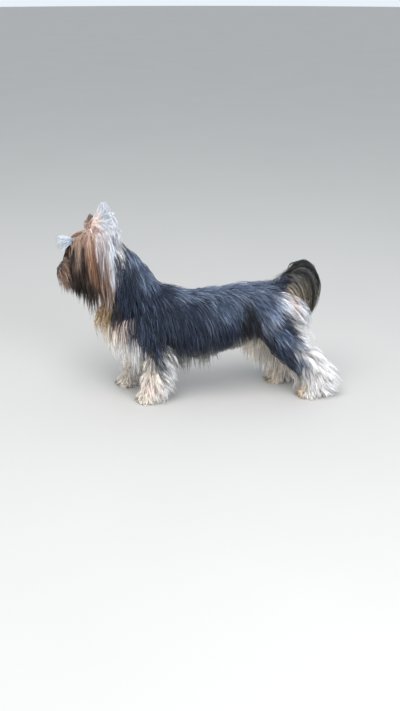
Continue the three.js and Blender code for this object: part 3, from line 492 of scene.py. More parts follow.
class CoatSizes(bpy.types.PropertyGroup):
    """Sizes of the coat."""

    seed: IntProperty(name="Seed", description="Changes where single hairs fall", default=7)
    spacing: FloatProperty(
        name="Tress spacing", description="Between the roots of neighbouring tresses on the trunk",
        default=5.0 * MM, min=0.002, subtype="DISTANCE", unit="LENGTH")
    width: FloatProperty(
        name="Hair width", default=1.25 * MM, subtype="DISTANCE", unit="LENGTH",
        description="Widest part of the longest solid hairs, which stand for a few real ones each")
    stray: FloatProperty(
        name="Stray hairs", description="Share of fine hairs that leave their tress", default=0.08,
        min=0, max=1, subtype="FACTOR")


class StageSizes(bpy.types.PropertyGroup):
    """Camera and light."""

    focal: FloatProperty(name="Focal length", description="Of the camera, on a 36 mm sensor", default=48.1)
    looks_down: FloatProperty(
        name="Camera pitch", description="Below the horizon", default=math.radians(23), subtype="ANGLE",
        unit="ROTATION")
    looks_round: FloatProperty(
        name="Camera azimuth", description="Away from square to the dog's side", default=math.radians(4.5),
        subtype="ANGLE", unit="ROTATION")
    key: FloatProperty(
        name="Key light", description="Power of the soft light overhead", default=43, unit="POWER")
    fill: FloatProperty(
        name="Fill light", description="Power of the light beside the camera", default=30, unit="POWER")
    floor: FloatVectorProperty(
        name="Floor", description="Colour of the floor", default=linear("#b9b7b3"), size=3, subtype="COLOR",
        min=0, max=1)


# Small helpers

def smooth(t):
    """An even ramp from 0 to 1 that starts and ends level."""
    t = np.clip(t, 0, 1)
    return t * t * (3 - 2 * t)


def unit(vectors):
    """Vectors along the last axis of an array, made one long."""
    return vectors / np.maximum(np.linalg.norm(vectors, axis=-1, keepdims=True), 1e-9)


def through(a, b, c, d, t):
    """A smooth curve between b and c, which goes on to a and d on either side."""
    return 0.5 * (2 * b + (c - a) * t + (2 * a - 5 * b + 4 * c - d) * t ** 2 + (3 * b - a - 3 * c + d) * t ** 3)


def curve(stations, step):
    """Stations joined by a smooth curve through them, read at about every step of the first three columns."""
    points = np.array(stations, float)
    ends = np.vstack([2 * points[0] - points[1], points, 2 * points[-1] - points[-2]])
    made = []
    for a, b, c, d in zip(ends, ends[1:], ends[2:], ends[3:]):
        count = max(2, int(np.linalg.norm(c[:3] - b[:3]) / step))
        made.extend(through(a, b, c, d, t) for t in np.arange(count) / count)
    made.append(points[-1])
    return np.array(made)


def even_rings(points, rings):
    """Guide points read again at a number of even rings, on a smooth curve through them."""
    steps = len(points) - 1
    t = np.linspace(0, steps, rings)
    low = np.minimum(t.astype(int), steps - 1)
    before, after = points[np.maximum(low - 1, 0)], points[np.minimum(low + 2, steps)]
    return through(before, points[low], points[low + 1], after, (t - low)[:, None, None])


def in_head(points):
    """Scene points in the head's frame, in millimetres."""
    into = np.array(HEAD_MATRIX.inverted())
    return points @ into[:3, :3].T + into[:3, 3]


def on_side(place, side):
    """A place or direction of the head's frame that is given for the right side, on either side."""
    return Vector((place[0], place[1] * side, place[2]))


def leg_shift(part, side, z):
    """How far a leg is moved along the body from the left one of its pair, at a height."""
    return float(np.interp(z, *RIGHT_SHIFT[part])) if side == RIGHT else 0.0


def paw_front(part, side):
    """Where the toes of a foot end."""
    return PAW_FRONT[part] + leg_shift(part, side, 0)


def toe_tuck(toe):
    """How far the outer toes stand back from the middle ones."""
    return TOE_TUCK * (abs(toe) - 0.5)


def tones_of(name):
    """The colours of a tone: at the root, halfway, at the tip, and of its streaks."""
    return np.array([linear(code) for code in TONES[name]])


def placed(name, data):
    """An object in the scene."""
    thing = bpy.data.objects.new(name, data)
    bpy.context.scene.collection.objects.link(thing)
    return thing


def mesh_from(bm, name):
    """A mesh from a bmesh, which is freed."""
    mesh = bpy.data.meshes.new(name)
    bm.to_mesh(mesh)
    bm.free()
    return mesh


def coordinates(mesh):
    """The places of a mesh's points."""
    points = np.zeros(len(mesh.vertices) * 3)
    mesh.vertices.foreach_get("co", points)
    return points.reshape(-1, 3)


def paint(mesh, colours):
    """Gives each point of a mesh its colour, in the attribute that the materials read."""
    layer = mesh.attributes.new("tone", "FLOAT_COLOR", "POINT")
    layer.data.foreach_set("color", colours.astype(np.float32).ravel())


def finished(mesh, material):
    """A piece from its mesh, with the mesh's name, riding on the frame."""
    piece = placed(mesh.name, mesh)
    mesh.materials.append(material)
    mesh.polygons.foreach_set("use_smooth", np.ones(len(mesh.polygons), bool))
    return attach(piece, "root")


def add_node(tree, kind, settings=None, **sockets):
    """A shader node with its settings and its inputs: values, or sockets to link from. An input is called by
    its name, or by its number with an i before it."""
    node = tree.nodes.new(kind)
    for key, value in (settings or {}).items():
        setattr(node, key, value)
    for key, value in sockets.items():
        numbered = key[0] == "i" and key[1:].isdigit()
        socket = node.inputs[int(key[1:]) if numbered else key.replace("_", " ")]
        if isinstance(value, bpy.types.NodeSocket):
            tree.links.new(value, socket)
        else:
            socket.default_value = value
    return node


def new_material(name, **values):
    """A material whose Principled shader has those plain values. Returns it, its tree and the shader."""
    material = bpy.data.materials.new(name)
    material.use_nodes = True
    tree = material.node_tree
    shader = tree.nodes["Principled BSDF"]
    for key, value in values.items():
        shader.inputs[key.replace("_", " ")].default_value = value
    return material, tree, shader


# The lie and the tones of the coat

class Groom:
    """The groom table on both sides of the dog, in scene metres."""

    def __init__(self):
        places, lies, numbers, tones, on_ear = [], [], [], [], []
        for _, part, place, lie, length, depth, hang, tone, *one_side in GROOM:
            for side in one_side or SIDES:
                x, y, z = place[0], place[1] * -side, place[2]
                way = Vector((lie[0], lie[1] * -side, lie[2])).normalized()
                if part == "head":
                    spot, way = head_point(x, y, z), HEAD_TURNING @ way
                elif part == "ear":
                    across, rise, outward = ear_axes(side)
                    way = across * lie[0] + rise * lie[1] + outward * lie[2]
                    spot, way = ear_place(side, *place), HEAD_TURNING @ on_side(way, side).normalized()
                else:
                    shift = leg_shift(part, side, z) if part in RIGHT_SHIFT else 0
                    spot = body_point(x + shift, y, z)
                places.append(spot)
                lies.append(way)
                numbers.append((length * MM, depth * MM, hang))
                on_ear.append(part == "ear")
                tones.append(tones_of(tone))
        self.places = np.array(places)
        self.lies = np.array(lies)
        self.numbers = np.array(numbers)
        self.tones = np.array(tones)
        self.on_ear = np.array(on_ear)

    def weights(self, points, ears, softness, power):
        """How much each row counts at each point. Hair of the ears follows only the rows of the ears."""
        gaps = ((points[:, None, :] - self.places[None]) ** 2).sum(2)
        w = (self.on_ear[None] == ears[:, None]) / (gaps + softness ** 2) ** power
        return w / w.sum(1, keepdims=True)

    def lie(self, points, ears):
        """The way the hair runs at each point, and its length, depth and hang."""
        w = self.weights(points, ears, 7 * MM, 2)
        return unit(w @ self.lies), w @ self.numbers

    def tone(self, points, ears):
        """Root, halfway, tip and streak colours at each point."""
        w = self.weights(points, ears, 4 * MM, 3)
        return np.einsum("pr,rtc->ptc", w, self.tones)


def lock_tones(points, base, streaky):
    """Colours of hair at points of the head: the base colours, with the locks of the head painted over them,
    painted shade between locks among them. streaky is how much of its streak tone each hair carries."""
    x, y, z = np.moveaxis(in_head(points), -1, 0)
    # seen from the side of the head: how far back and how far down
    back = 0.89 * x + 0.37 * np.abs(y) - 0.27 * z
    fall = -0.35 * x + 0.17 * np.abs(y) - 0.92 * z
    colour, cover = np.zeros_like(base), np.zeros(base.shape[:-1])
    for _, *way, half, tone in LOCKS:
        backs, falls = zip(*way)
        off = np.abs(back - np.interp(fall, falls, backs)) / half
        fade_in, fade_out = smooth((fall - falls[0] + 8) / 10), smooth((falls[-1] + 8 - fall) / 12)
        share = np.exp(-off ** 4) * fade_in * fade_out
        root, middle, tip, streak = tones_of(tone)
        along = np.clip((fall - falls[0]) / (falls[-1] - falls[0]), 0, 1)[..., None]
        shown = (root * np.clip(1 - 2 * along, 0, 1) + middle * (1 - np.abs(2 * along - 1))
                 + tip * np.clip(2 * along - 1, 0, 1))
        shown = shown * (1 - streaky) + streak * streaky
        colour += shown * share[..., None]
        cover += share
    over = np.minimum(cover, 1)[..., None]
    return base * (1 - over) + colour / np.maximum(cover, 1e-6)[..., None] * over


# Skin

def bead(bm, place, half, turning=None, rounds=3):
    """A stretched ball, one of many that the skin is fused from, with its half sizes in millimetres."""
    turned = turning.to_4x4() if turning else Matrix()
    matrix = Matrix.Translation(place) @ turned @ Matrix.Diagonal((*(size * MM for size in half), 1))
    bmesh.ops.create_icosphere(bm, subdivisions=rounds, radius=1, matrix=matrix)


def ear_axes(side):
    """The ear's own directions in the head's frame, for an ear on the right side: from its front edge to its
    rear edge, from its root to its tip, and out of its opening."""
    rise = (Vector(EAR_TIP[side]) - Vector(EAR_ROOT)).normalized()
    backwards = Vector(EAR_BACKWARDS)
    across = backwards - rise * backwards.dot(rise)
    across.normalize()
    return across, rise, rise.cross(across)


def ear_place(side, s, t, out=0.0):
    """A scene point of an ear: s from the front edge (-1) to the rear edge (1), t from the root to the tip, and
    millimetres out of its opening."""
    across, rise, outward = ear_axes(side)
    root, tip = Vector(EAR_ROOT), Vector(EAR_TIP[side])
    half = EAR_HALF_WIDTH * (1 - t ** 1.7) ** 0.75 * (0.80 + 0.35 * math.sin(math.pi * min(1, t * 1.3)))
    cup = EAR_CUP * (1 - t) ** 0.6 * (1 - s * s)
    sunk = rise * EAR_SUNK
    place = root - sunk + (tip - root + sunk) * t + across * s * max(half, 0.6) + outward * (out - cup)
    return head_point(*on_side(place, side))


def ear_leaf(bm, side):
    """The leather of one ear: a pointed leaf, cupped towards the front."""
    before = len(bm.faces)
    grid = bmesh.ops.create_grid(bm, x_segments=12, y_segments=18, size=1)["verts"]
    for v in grid:
        v.co = ear_place(side, v.co.x, (v.co.y + 1) / 2)
    bm.normal_update()
    bm.faces.ensure_lookup_table()
    bmesh.ops.solidify(bm, geom=bm.faces[before:], thickness=EAR_THICKNESS * MM)


def leg_stations(part, side):
    """The stations of one leg, which the legs' shifts move along the body."""
    return [(x + leg_shift(part, side, z), y * -side, z, half_length, half_width)
            for x, y, z, half_length, half_width in (FORELEG if part == "fore" else HINDLEG)]


def leg_beads(bm, part, side):
    """One leg, with its toes and the pad behind them."""
    for x, y, z, half_length, half_width in curve(leg_stations(part, side), 5):
        bead(bm, body_point(x, y, z), (half_length, half_width, LEG_BEAD_HALF), rounds=2)
    front = paw_front(part, side)
    for toe in TOES:
        across = TRACK * side + toe * TOE_SPACING * 0.9
        place = body_point(front + TOE_BEHIND + toe_tuck(toe), across, TOE_HEIGHT)
        bead(bm, place, TOE_HALF, rounds=2)
    bead(bm, body_point(front + PAD_BEHIND, TRACK * side, PAD_HEIGHT), PAD_HALF, rounds=2)


def fused_body(sizes):
    """All the beads and both ears, fused into one closed mesh and softened."""
    bm = bmesh.new()
    for x, top, bottom, half in curve(TRUNK, 7):
        bead(bm, body_point(x, 0, (top + bottom) / 2), (TRUNK_BEAD_HALF, half, (top - bottom) / 2))
    base, end = NECK[0][1], NECK[-1][1]
    for x, z, radius, half in curve(NECK, 7):
        aside = NECK_LEAN * (z - base) / (end - base)
        bead(bm, body_point(x, aside, z), (radius, half, NECK_BEAD_HALF))
    for x, top, bottom, half in curve(SKULL, 3):
        place = head_point(x, 0, (top + bottom) / 2)
        bead(bm, place, (SKULL_BEAD_HALF, half, (top - bottom) / 2), HEAD_TURNING)
    for side in SIDES:
        bead(bm, head_point(*on_side(EYE, side)), [EYE_RADIUS + 1.0] * 3)
        for place, half in FACE_BEADS:
            bead(bm, head_point(*on_side(place, side)), half, HEAD_TURNING)
        ear_leaf(bm, side)
        for part in ("fore", "hind"):
            leg_beads(bm, part, side)
    for x, y, z, radius in curve(TAIL, 4):
        bead(bm, body_point(x, y, z), [radius] * 3, rounds=2)
    bmesh.ops.recalc_face_normals(bm, faces=bm.faces)
    mesh = mesh_from(bm, "beads")
    beads = placed("beads", mesh)
    remesh = beads.modifiers.new("Fuse", "REMESH")
    remesh.mode, remesh.voxel_size = "VOXEL", sizes.voxel
    soften = beads.modifiers.new("Soften", "SMOOTH")
    soften.factor, soften.iterations = 0.5, sizes.smoothing
    fused = bpy.data.meshes.new_from_object(beads.evaluated_get(bpy.context.evaluated_depsgraph_get()))
    bpy.data.objects.remove(beads)
    bpy.data.meshes.remove(mesh)
    return fused


def lid_distance(point, side):
    """How far a point in the head's frame is from the middle of the lids' gap: 1 on the lids' edge. Also the
    way to it from the eye's middle."""
    away = point - on_side(EYE, side)
    gaze = on_side(GAZE, side)
    up = (Vector((0, 0, 1)) - gaze * gaze.z).normalized()
    aside = gaze.cross(up)
    ahead = away.dot(gaze)
    if ahead <= 0:
        return math.inf, away
    a = math.atan2(away.dot(aside), ahead) / LID_OPENING[0]
    b = math.atan2(away.dot(up), ahead) / LID_OPENING[1]
    return math.hypot(a, b), away


def carve_eyelids(bm, sizes):
    """Opens the skin over each eyeball between two rounded lids."""
    into_head = HEAD_MATRIX.inverted()
    rim = EYE_RADIUS + sizes.lid_height / MM
    for side in SIDES:
        centre = head_point(*on_side(EYE, side))
        near = [e for e in bm.edges if all((v.co - centre).length < EYE_FINE * MM for v in e.verts)]
        bmesh.ops.subdivide_edges(bm, edges=near, cuts=3, use_grid_fill=True)
        touched = []
        for v in bm.verts:
            if (v.co - centre).length > EYE_SHAPED * MM:
                continue
            e, away = lid_distance(into_head @ v.co, side)
            if e > LID_END:
                continue
            distance = away.length
            if e < LID_INNER:
                wanted = EYE_RADIUS - SOCKET_DEPTH
            elif e < LID_RIM:
                up_the_lid = float(smooth((e - LID_INNER) / LID_SLOPE))
                wanted = EYE_RADIUS - SOCKET_DEPTH + (rim - EYE_RADIUS + SOCKET_DEPTH) * up_the_lid
            else:
                wanted = rim + (max(distance, rim) - rim) * float(smooth((e - LID_RIM) / (LID_END - LID_RIM)))
            v.co = HEAD_MATRIX @ (on_side(EYE, side) + away.normalized() * wanted)
            if e > LID_SMOOTHED:
                touched.append(v)
        bmesh.ops.smooth_vert(bm, verts=touched, factor=0.5, use_axis_x=True, use_axis_y=True, use_axis_z=True)


def bare_share(point):
    """How bare the skin is at a scene point: 1 on the lids' rims and round the nose, 0 under the coat."""
    local = HEAD_MATRIX.inverted() @ point
    bare = 0.0
    for side in SIDES:
        e, away = lid_distance(local, side)
        if away.length < EYE_RADIUS + 4:
            bare = max(bare, 1 - float(smooth((e - LIDS_BARE) / LIDS_FADE)))
    nose = (local - Vector(NOSE_AT)).length
    return max(bare, 1 - float(smooth((nose - NOSE_BARE) / NOSE_FADE)))


def skin_material():
    """Dog skin under the coat: matt, with fine pores and the coat's own markings."""
    material, tree, shader = new_material("Dog skin, haired", Roughness=0.55, Subsurface_Weight=0.1,
                                          Subsurface_Scale=1.5 * MM)
    tone = add_node(tree, "ShaderNodeAttribute", {"attribute_name": "tone"})
    place = add_node(tree, "ShaderNodeTexCoord")
    pores = add_node(tree, "ShaderNodeTexNoise", {}, Vector=place.outputs["Object"], Scale=1 / (0.8 * MM),
                     Detail=3.0, Roughness=0.6)
    patches = add_node(tree, "ShaderNodeTexNoise", {}, Vector=place.outputs["Object"], Scale=1 / (9 * MM),
                       Detail=2.0)
    shade = add_node(tree, "ShaderNodeMapRange", {}, Value=patches.outputs["Fac"], To_Min=0.8, To_Max=1.15)
    colour = add_node(tree, "ShaderNodeVectorMath", {"operation": "SCALE"}, i0=tone.outputs["Color"],
                      Scale=shade.outputs["Result"])
    tree.links.new(colour.outputs["Vector"], shader.inputs["Base Color"])
    bump = add_node(tree, "ShaderNodeBump", {}, Height=pores.outputs["Fac"], Strength=0.35, Distance=0.25 * MM)
    tree.links.new(bump.outputs["Normal"], shader.inputs["Normal"])
    return material


class TERRIER_OT_skin(bpy.types.Operator):
    """Fuse one skin over the whole dog and open its eyelids"""

    bl_idname = "terrier.skin"
    bl_label = "Skin"

    def execute(self, context):
        sizes = context.scene.terrier_skin
        fused = fused_body(sizes)
        bm = bmesh.new()
        bm.from_mesh(fused)
        bpy.data.meshes.remove(fused)
        carve_eyelids(bm, sizes)
        for v in bm.verts:
            v.co.z = max(v.co.z, 0.2 * MM)
        many_sided = [f for f in bm.faces if len(f.verts) > 4]
        bmesh.ops.triangulate(bm, faces=many_sided, ngon_method="BEAUTY")
        bmesh.ops.recalc_face_normals(bm, faces=bm.faces)
        skin = finished(mesh_from(bm, "skin"), skin_material())
        points = coordinates(skin.data)
        tone = np.ones((len(points), 4))
        tone[:, :3] = Groom().tone(points, part_of(points)[0] == "ears")[:, :2].mean(1)
        dark = np.array(linear("#14100f"))
        from_head = np.linalg.norm(points - np.array(head_point(0, 0, 0)), axis=1)
        for i in np.flatnonzero(from_head < HEAD_REACH * MM):
            tone[i, :3] += (dark - tone[i, :3]) * bare_share(Vector(points[i]))
        paint(skin.data, tone)
        flesh = [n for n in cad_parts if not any(word in n for word in NOT_FLESH)]
        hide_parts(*flesh)
        return {"FINISHED"}


# Eyes, nose and claws

def eye_material():
    """A dark brown eye under a clear wet cornea: a black pupil, a fibrous iris and a dark rim."""
    material, tree, shader = new_material("Eyeball, wet", Roughness=0.3, Specular_IOR_Level=0.1,
                                          Coat_Weight=1.0, Coat_Roughness=0.02)
    gaze = add_node(tree, "ShaderNodeUVMap", {"uv_map": "gaze"})
    split = add_node(tree, "ShaderNodeSeparateXYZ", {}, Vector=gaze.outputs["UV"])
    fibres = add_node(tree, "ShaderNodeTexNoise", {"noise_dimensions": "2D"}, Vector=gaze.outputs["UV"],
                      Scale=60.0, Detail=3.0)
    wobble = add_node(tree, "ShaderNodeMath", {"operation": "MULTIPLY_ADD"}, i0=fibres.outputs["Fac"], i1=0.012,
                      i2=split.outputs["Y"])
    ramp = add_node(tree, "ShaderNodeValToRGB", {}, Fac=wobble.outputs["Value"])
    # pupil, iris from its inner to its outer edge, the dark rim and the white
    stops = [(0.0, "#020202"), (0.105, "#040303"), (0.125, "#2c1507"), (0.20, "#3f210d"), (0.255, "#1a0c05"),
             (0.275, "#070403"), (0.33, "#2b211c"), (0.5, "#8d7c70")]
    elements = ramp.color_ramp.elements
    for element, (position, code) in zip(elements, (stops[0], stops[-1])):
        element.position, element.color = position, (*linear(code), 1)
    for position, code in stops[1:-1]:
        elements.new(position).color = (*linear(code), 1)
    tree.links.new(ramp.outputs["Color"], shader.inputs["Base Color"])
    return material


def polar_angle(direction):
    """The angle between a direction and +Z."""
    return math.acos(max(-1, min(1, direction.z)))


class TERRIER_OT_eyes(bpy.types.Operator):
    """Set both eyeballs, with the cornea standing a little proud"""

    bl_idname = "terrier.eyes"
    bl_label = "Eyes"

    def execute(self, context):
        material = eye_material()
        for side, word in SIDE_WORDS.items():
            bm = bmesh.new()
            bmesh.ops.create_uvsphere(bm, u_segments=48, v_segments=32, radius=EYE_RADIUS * MM)
            layer = bm.loops.layers.uv.new("gaze")
            for loop in (loop for face in bm.faces for loop in face.loops):
                way = loop.vert.co.normalized()
                turn = math.atan2(way.y, way.x) / math.tau + 0.5
                loop[layer].uv = (turn, polar_angle(way) / math.pi)
            for v in bm.verts:
                inside = 1 - polar_angle(v.co.normalized()) / CORNEA_HALF_ANGLE
                v.co *= 1 + CORNEA_RISE * float(smooth(inside))
            turning = (HEAD_TURNING @ on_side(GAZE, side)).to_track_quat("Z", "Y").to_matrix().to_4x4()
            bm.transform(Matrix.Translation(head_point(*on_side(EYE, side))) @ turning)
            eye = finished(mesh_from(bm, f"eyeball_{word}"), material)
            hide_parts(f"eye_{word}")
        return {"FINISHED"}


def nose_material():
    """Nose leather: near black, moist, with a fine pebble of about 0.7 mm, and painted shade darkening the
    grooves between the pebbles.
    """
    material, tree, shader = new_material("Nose leather, moist", Roughness=0.36, Coat_Weight=0.5,
                                          Coat_Roughness=0.18)
    place = add_node(tree, "ShaderNodeTexCoord")
    pebble = add_node(tree, "ShaderNodeTexVoronoi", {"feature": "DISTANCE_TO_EDGE"},
                      Vector=place.outputs["Object"], Scale=1 / (0.7 * MM))
    soft = add_node(tree, "ShaderNodeMapRange", {}, Value=pebble.outputs["Distance"], From_Max=0.25)
    # painted shade: the grooves at the pebbles' edges are coloured darker than the pebbles' tops
    colour = add_node(tree, "ShaderNodeMix", {"data_type": "RGBA"}, Factor=soft.outputs["Result"],
                      i6=(*linear("#060505"), 1), i7=(*linear("#1d1716"), 1))
    tree.links.new(colour.outputs[2], shader.inputs["Base Color"])
    bump = add_node(tree, "ShaderNodeBump", {}, Height=soft.outputs["Result"], Strength=0.6, Distance=0.2 * MM)
    tree.links.new(bump.outputs["Normal"], shader.inputs["Normal"])
    return material


def nose_shape(p):
    """A point of a ball one across, moved to the nose's shape: squared off like leather over a short snout,
    narrower below, with comma-shaped nostrils and a groove between them."""
    for axis in range(3):
        p[axis] = math.copysign(abs(p[axis]) ** 0.86, p[axis])
    p.y *= 1 - 0.22 * float(smooth(-p.z))
    front = float(smooth((-p.x - 0.1) / 0.5))
    for side in SIDES:
        u, w = p.y * side - 0.46, p.z + 0.06
        u += 0.30 * w
        hole = math.exp(-(u * u / 0.045 + w * w / 0.055))
        slit = math.exp(-((p.y * side - 0.74 - 0.25 * w) ** 2 / 0.035 + (w + 0.14) ** 2 / 0.012))
        p.x += front * (0.62 * hole + 0.30 * slit)
    p.x += front * 0.16 * math.exp(-(p.y / 0.07) ** 2) * float(smooth(0.4 - p.z))
    return p


class TERRIER_OT_nose(bpy.types.Operator):
    """Shape the nose leather with its nostrils and groove"""

    bl_idname = "terrier.nose"
    bl_label = "Nose"

    def execute(self, context):
        bm = bmesh.new()
        bmesh.ops.create_uvsphere(bm, u_segments=64, v_segments=48, radius=1)
        for v in bm.verts:
            p = nose_shape(v.co.copy())
            offset = Vector([p[axis] * NOSE_HALF[axis] for axis in range(3)])
            v.co = HEAD_MATRIX @ (Vector(NOSE_AT) + offset)
        bmesh.ops.recalc_face_normals(bm, faces=bm.faces)
        nose = finished(mesh_from(bm, "nose_leather"), nose_material())
        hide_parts("nose")
        return {"FINISHED"}


def claw_material():
    """Claw horn: dark, smooth, with fine lengthwise streaks."""
    material, tree, shader = new_material("Claw horn, dark", Roughness=0.32)
    place = add_node(tree, "ShaderNodeTexCoord")
    stretched = add_node(tree, "ShaderNodeMapping", {}, Vector=place.outputs["Object"], Scale=(120, 1600, 1600))
    streaks = add_node(tree, "ShaderNodeTexNoise", {}, Vector=stretched.outputs["Vector"], Scale=1.0,
                       Detail=2.0)
    colour = add_node(tree, "ShaderNodeMix", {"data_type": "RGBA"}, Factor=streaks.outputs["Fac"],
                      i6=(*linear("#0e0b0a"), 1), i7=(*linear("#473a30"), 1))
    tree.links.new(colour.outputs[2], shader.inputs["Base Color"])
    return material


def add_claw(bm, part, side, toe):
    """One claw: a cone along Z that is laid forward over its toe and bent down to the floor."""
    before, edges_before = len(bm.verts), len(bm.edges)
    bmesh.ops.create_cone(bm, cap_ends=True, segments=12, radius1=1.75, radius2=0.25, depth=CLAW_LENGTH)
    bm.edges.ensure_lookup_table()
    lengthwise = [e for e in bm.edges[edges_before:]
                  if abs(e.verts[0].co.z - e.verts[1].co.z) > CLAW_LENGTH / 2]
    bmesh.ops.subdivide_edges(bm, edges=lengthwise, cuts=5)
    bm.verts.ensure_lookup_table()
    root = paw_front(part, side) + toe_tuck(toe) + 1.5
    for v in bm.verts[before:]:
        t = v.co.z / CLAW_LENGTH + 0.5
        sideways, upwards = v.co.x * 0.8, v.co.y * (1.15 - 0.1 * t)
        x = root - CLAW_REACH * t + upwards * 0.25
        z = CLAW_HEIGHT + CLAW_ARCH * math.sin(math.pi * t * 0.8) - CLAW_DROP * t ** 2.2 + upwards
        v.co = body_point(x, TRACK * side + toe * TOE_SPACING + sideways, z)


class TERRIER_OT_claws(bpy.types.Operator):
    """Set the sixteen curved claws"""

    bl_idname = "terrier.claws"
    bl_label = "Claws"

    def execute(self, context):
        bm = bmesh.new()
        for part in ("fore", "hind"):
            for side in SIDES:
                for toe in TOES:
                    add_claw(bm, part, side, toe)
        bmesh.ops.recalc_face_normals(bm, faces=bm.faces)
        claws = finished(mesh_from(bm, "claws"), claw_material())
        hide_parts(*[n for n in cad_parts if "_claw_" in n])
        return {"FINISHED"}


# Coat

def hair_material():
    """Silky dog hair in solid strands: satin, and streaked along its length so that one strand reads as several
    hairs."""
    material, tree, shader = new_material(
        "Silky hair, combed", Roughness=0.42, IOR=1.55, Specular_IOR_Level=0.28, Sheen_Weight=0.05,
        Sheen_Roughness=0.35)
    tone = add_node(tree, "ShaderNodeAttribute", {"attribute_name": "tone"})
    strand = add_node(tree, "ShaderNodeUVMap", {"uv_map": "strand"})
    # three fine hairs across a strand, drawn out along it
    stretched = add_node(tree, "ShaderNodeMapping", {}, Vector=strand.outputs["UV"], Scale=(7.0, 0.8, 1.0))
    streaks = add_node(tree, "ShaderNodeTexNoise", {"noise_dimensions": "2D"},
                       Vector=stretched.outputs["Vector"], Scale=1.0, Detail=2.0, Roughness=0.6)
    shade = add_node(tree, "ShaderNodeMapRange", {}, Value=streaks.outputs["Fac"], From_Min=0.25,
                     From_Max=0.75, To_Min=0.78, To_Max=1.2)
    colour = add_node(tree, "ShaderNodeVectorMath", {"operation": "SCALE"}, i0=tone.outputs["Color"],
                      Scale=shade.outputs["Result"])
    tree.links.new(colour.outputs["Vector"], shader.inputs["Base Color"])
    bump = add_node(tree, "ShaderNodeBump", {}, Height=streaks.outputs["Fac"], Strength=0.5, Distance=0.15 * MM)
    tree.links.new(bump.outputs["Normal"], shader.inputs["Normal"])
    return material


class SkinReader:
    """Finds the nearest skin to a point, and picks roots on it."""

    def __init__(self, skin):
        mesh = skin.data
        mesh.calc_loop_triangles()
        self.points = coordinates(mesh)
        corners = np.zeros(len(mesh.loop_triangles) * 3, np.int32)
        mesh.loop_triangles.foreach_get("vertices", corners)
        self.corners = corners.reshape(-1, 3)
        self.centres = self.points[self.corners].mean(1)
        self.tree = BVHTree.FromPolygons([Vector(p) for p in self.points], self.corners.tolist(),
                                         all_triangles=True)
        a, b, c = (self.points[self.corners[:, i]] for i in range(3))
        cross = np.cross(b - a, c - a)
        self.areas = np.linalg.norm(cross, axis=1) / 2
        self.normals = cross / np.maximum(np.linalg.norm(cross, axis=1), 1e-12)[:, None]

    def roots(self, rng, count):
        """Points spread over the skin at random, evenly by area, with the faces they are on."""
        faces = rng.choice(len(self.areas), count, p=self.areas / self.areas.sum())
        u, v = rng.random(count), rng.random(count)
        over = u + v > 1
        u[over], v[over] = 1 - u[over], 1 - v[over]
        a, b, c = (self.points[self.corners[faces, i]] for i in range(3))
        return a + (b - a) * u[:, None] + (c - a) * v[:, None], faces

    def nearest(self, points):
        """Nearest skin point, its normal and the signed height over it, for each point."""
        found = [self.tree.find_nearest(Vector(p)) for p in points]
        spots = np.array([f[0] for f in found])
        normals = np.array([f[1] for f in found])
        return spots, normals, ((points - spots) * normals).sum(1)

    def nearest_faces(self, points, among):
        """For each point, the one of those faces whose middle is nearest."""
        return np.array([among[((self.centres[among] - p) ** 2).sum(1).argmin()] for p in points])

    def unwrap(self, faces):
        """An unwrap of those faces of the skin: the place on it of each face, and its middle for all others."""
        used, index = np.unique(self.corners[faces], return_inverse=True)
        mesh = bpy.data.meshes.new("patch")
        mesh.from_pydata(self.points[used].tolist(), [], index.reshape(-1, 3).tolist())
        mesh.uv_layers.new(name="OFBake")
        patch = placed("patch", mesh)
        bpy.ops.object.select_all(action="DESELECT")
        bpy.context.view_layer.objects.active = patch
        patch.select_set(True)
        bpy.ops.object.mode_set(mode="EDIT")
        bpy.ops.mesh.select_all(action="SELECT")
        bpy.ops.uv.smart_project(angle_limit=math.radians(66), island_margin=0.004)
        bpy.ops.object.mode_set(mode="OBJECT")
        spots = np.zeros(len(mesh.loops) * 2)
        mesh.uv_layers["OFBake"].data.foreach_get("uv", spots)
        bpy.data.objects.remove(patch)
        bpy.data.meshes.remove(mesh)
        places = np.full((len(self.corners), 2), 0.5)
        places[faces] = spots.reshape(-1, 3, 2).mean(1)
        return places


def spread_out(points, gaps, order):
    """Keeps points in that order, leaving out each that is nearer to a kept one than its gap."""
    cell = float(gaps.max())
    cells, kept = {}, []
    for i in order:
        p, gap = points[i], gaps[i]
        x, y, z = (p // cell).astype(int)
        near = (j for dx in (-1, 0, 1) for dy in (-1, 0, 1) for dz in (-1, 0, 1)
                for j in cells.get((x + dx, y + dy, z + dz), ()))
        if all(((points[j] - p) ** 2).sum() > gap * gap for j in near):
            cells.setdefault((x, y, z), []).append(i)
            kept.append(i)
    return np.array(kept)


def drift(points, wavelength, phase):
    """A slow even wander between about -1 and 1 over space, the same at each call."""
    total = np.zeros(len(points))
    for k, way in enumerate(DRIFT_WAYS):
        waves = points @ np.array(way) * math.tau / wavelength
        total += np.sin(waves * (1 + 0.27 * k) + phase * (k + 1))
    return total / 2.4


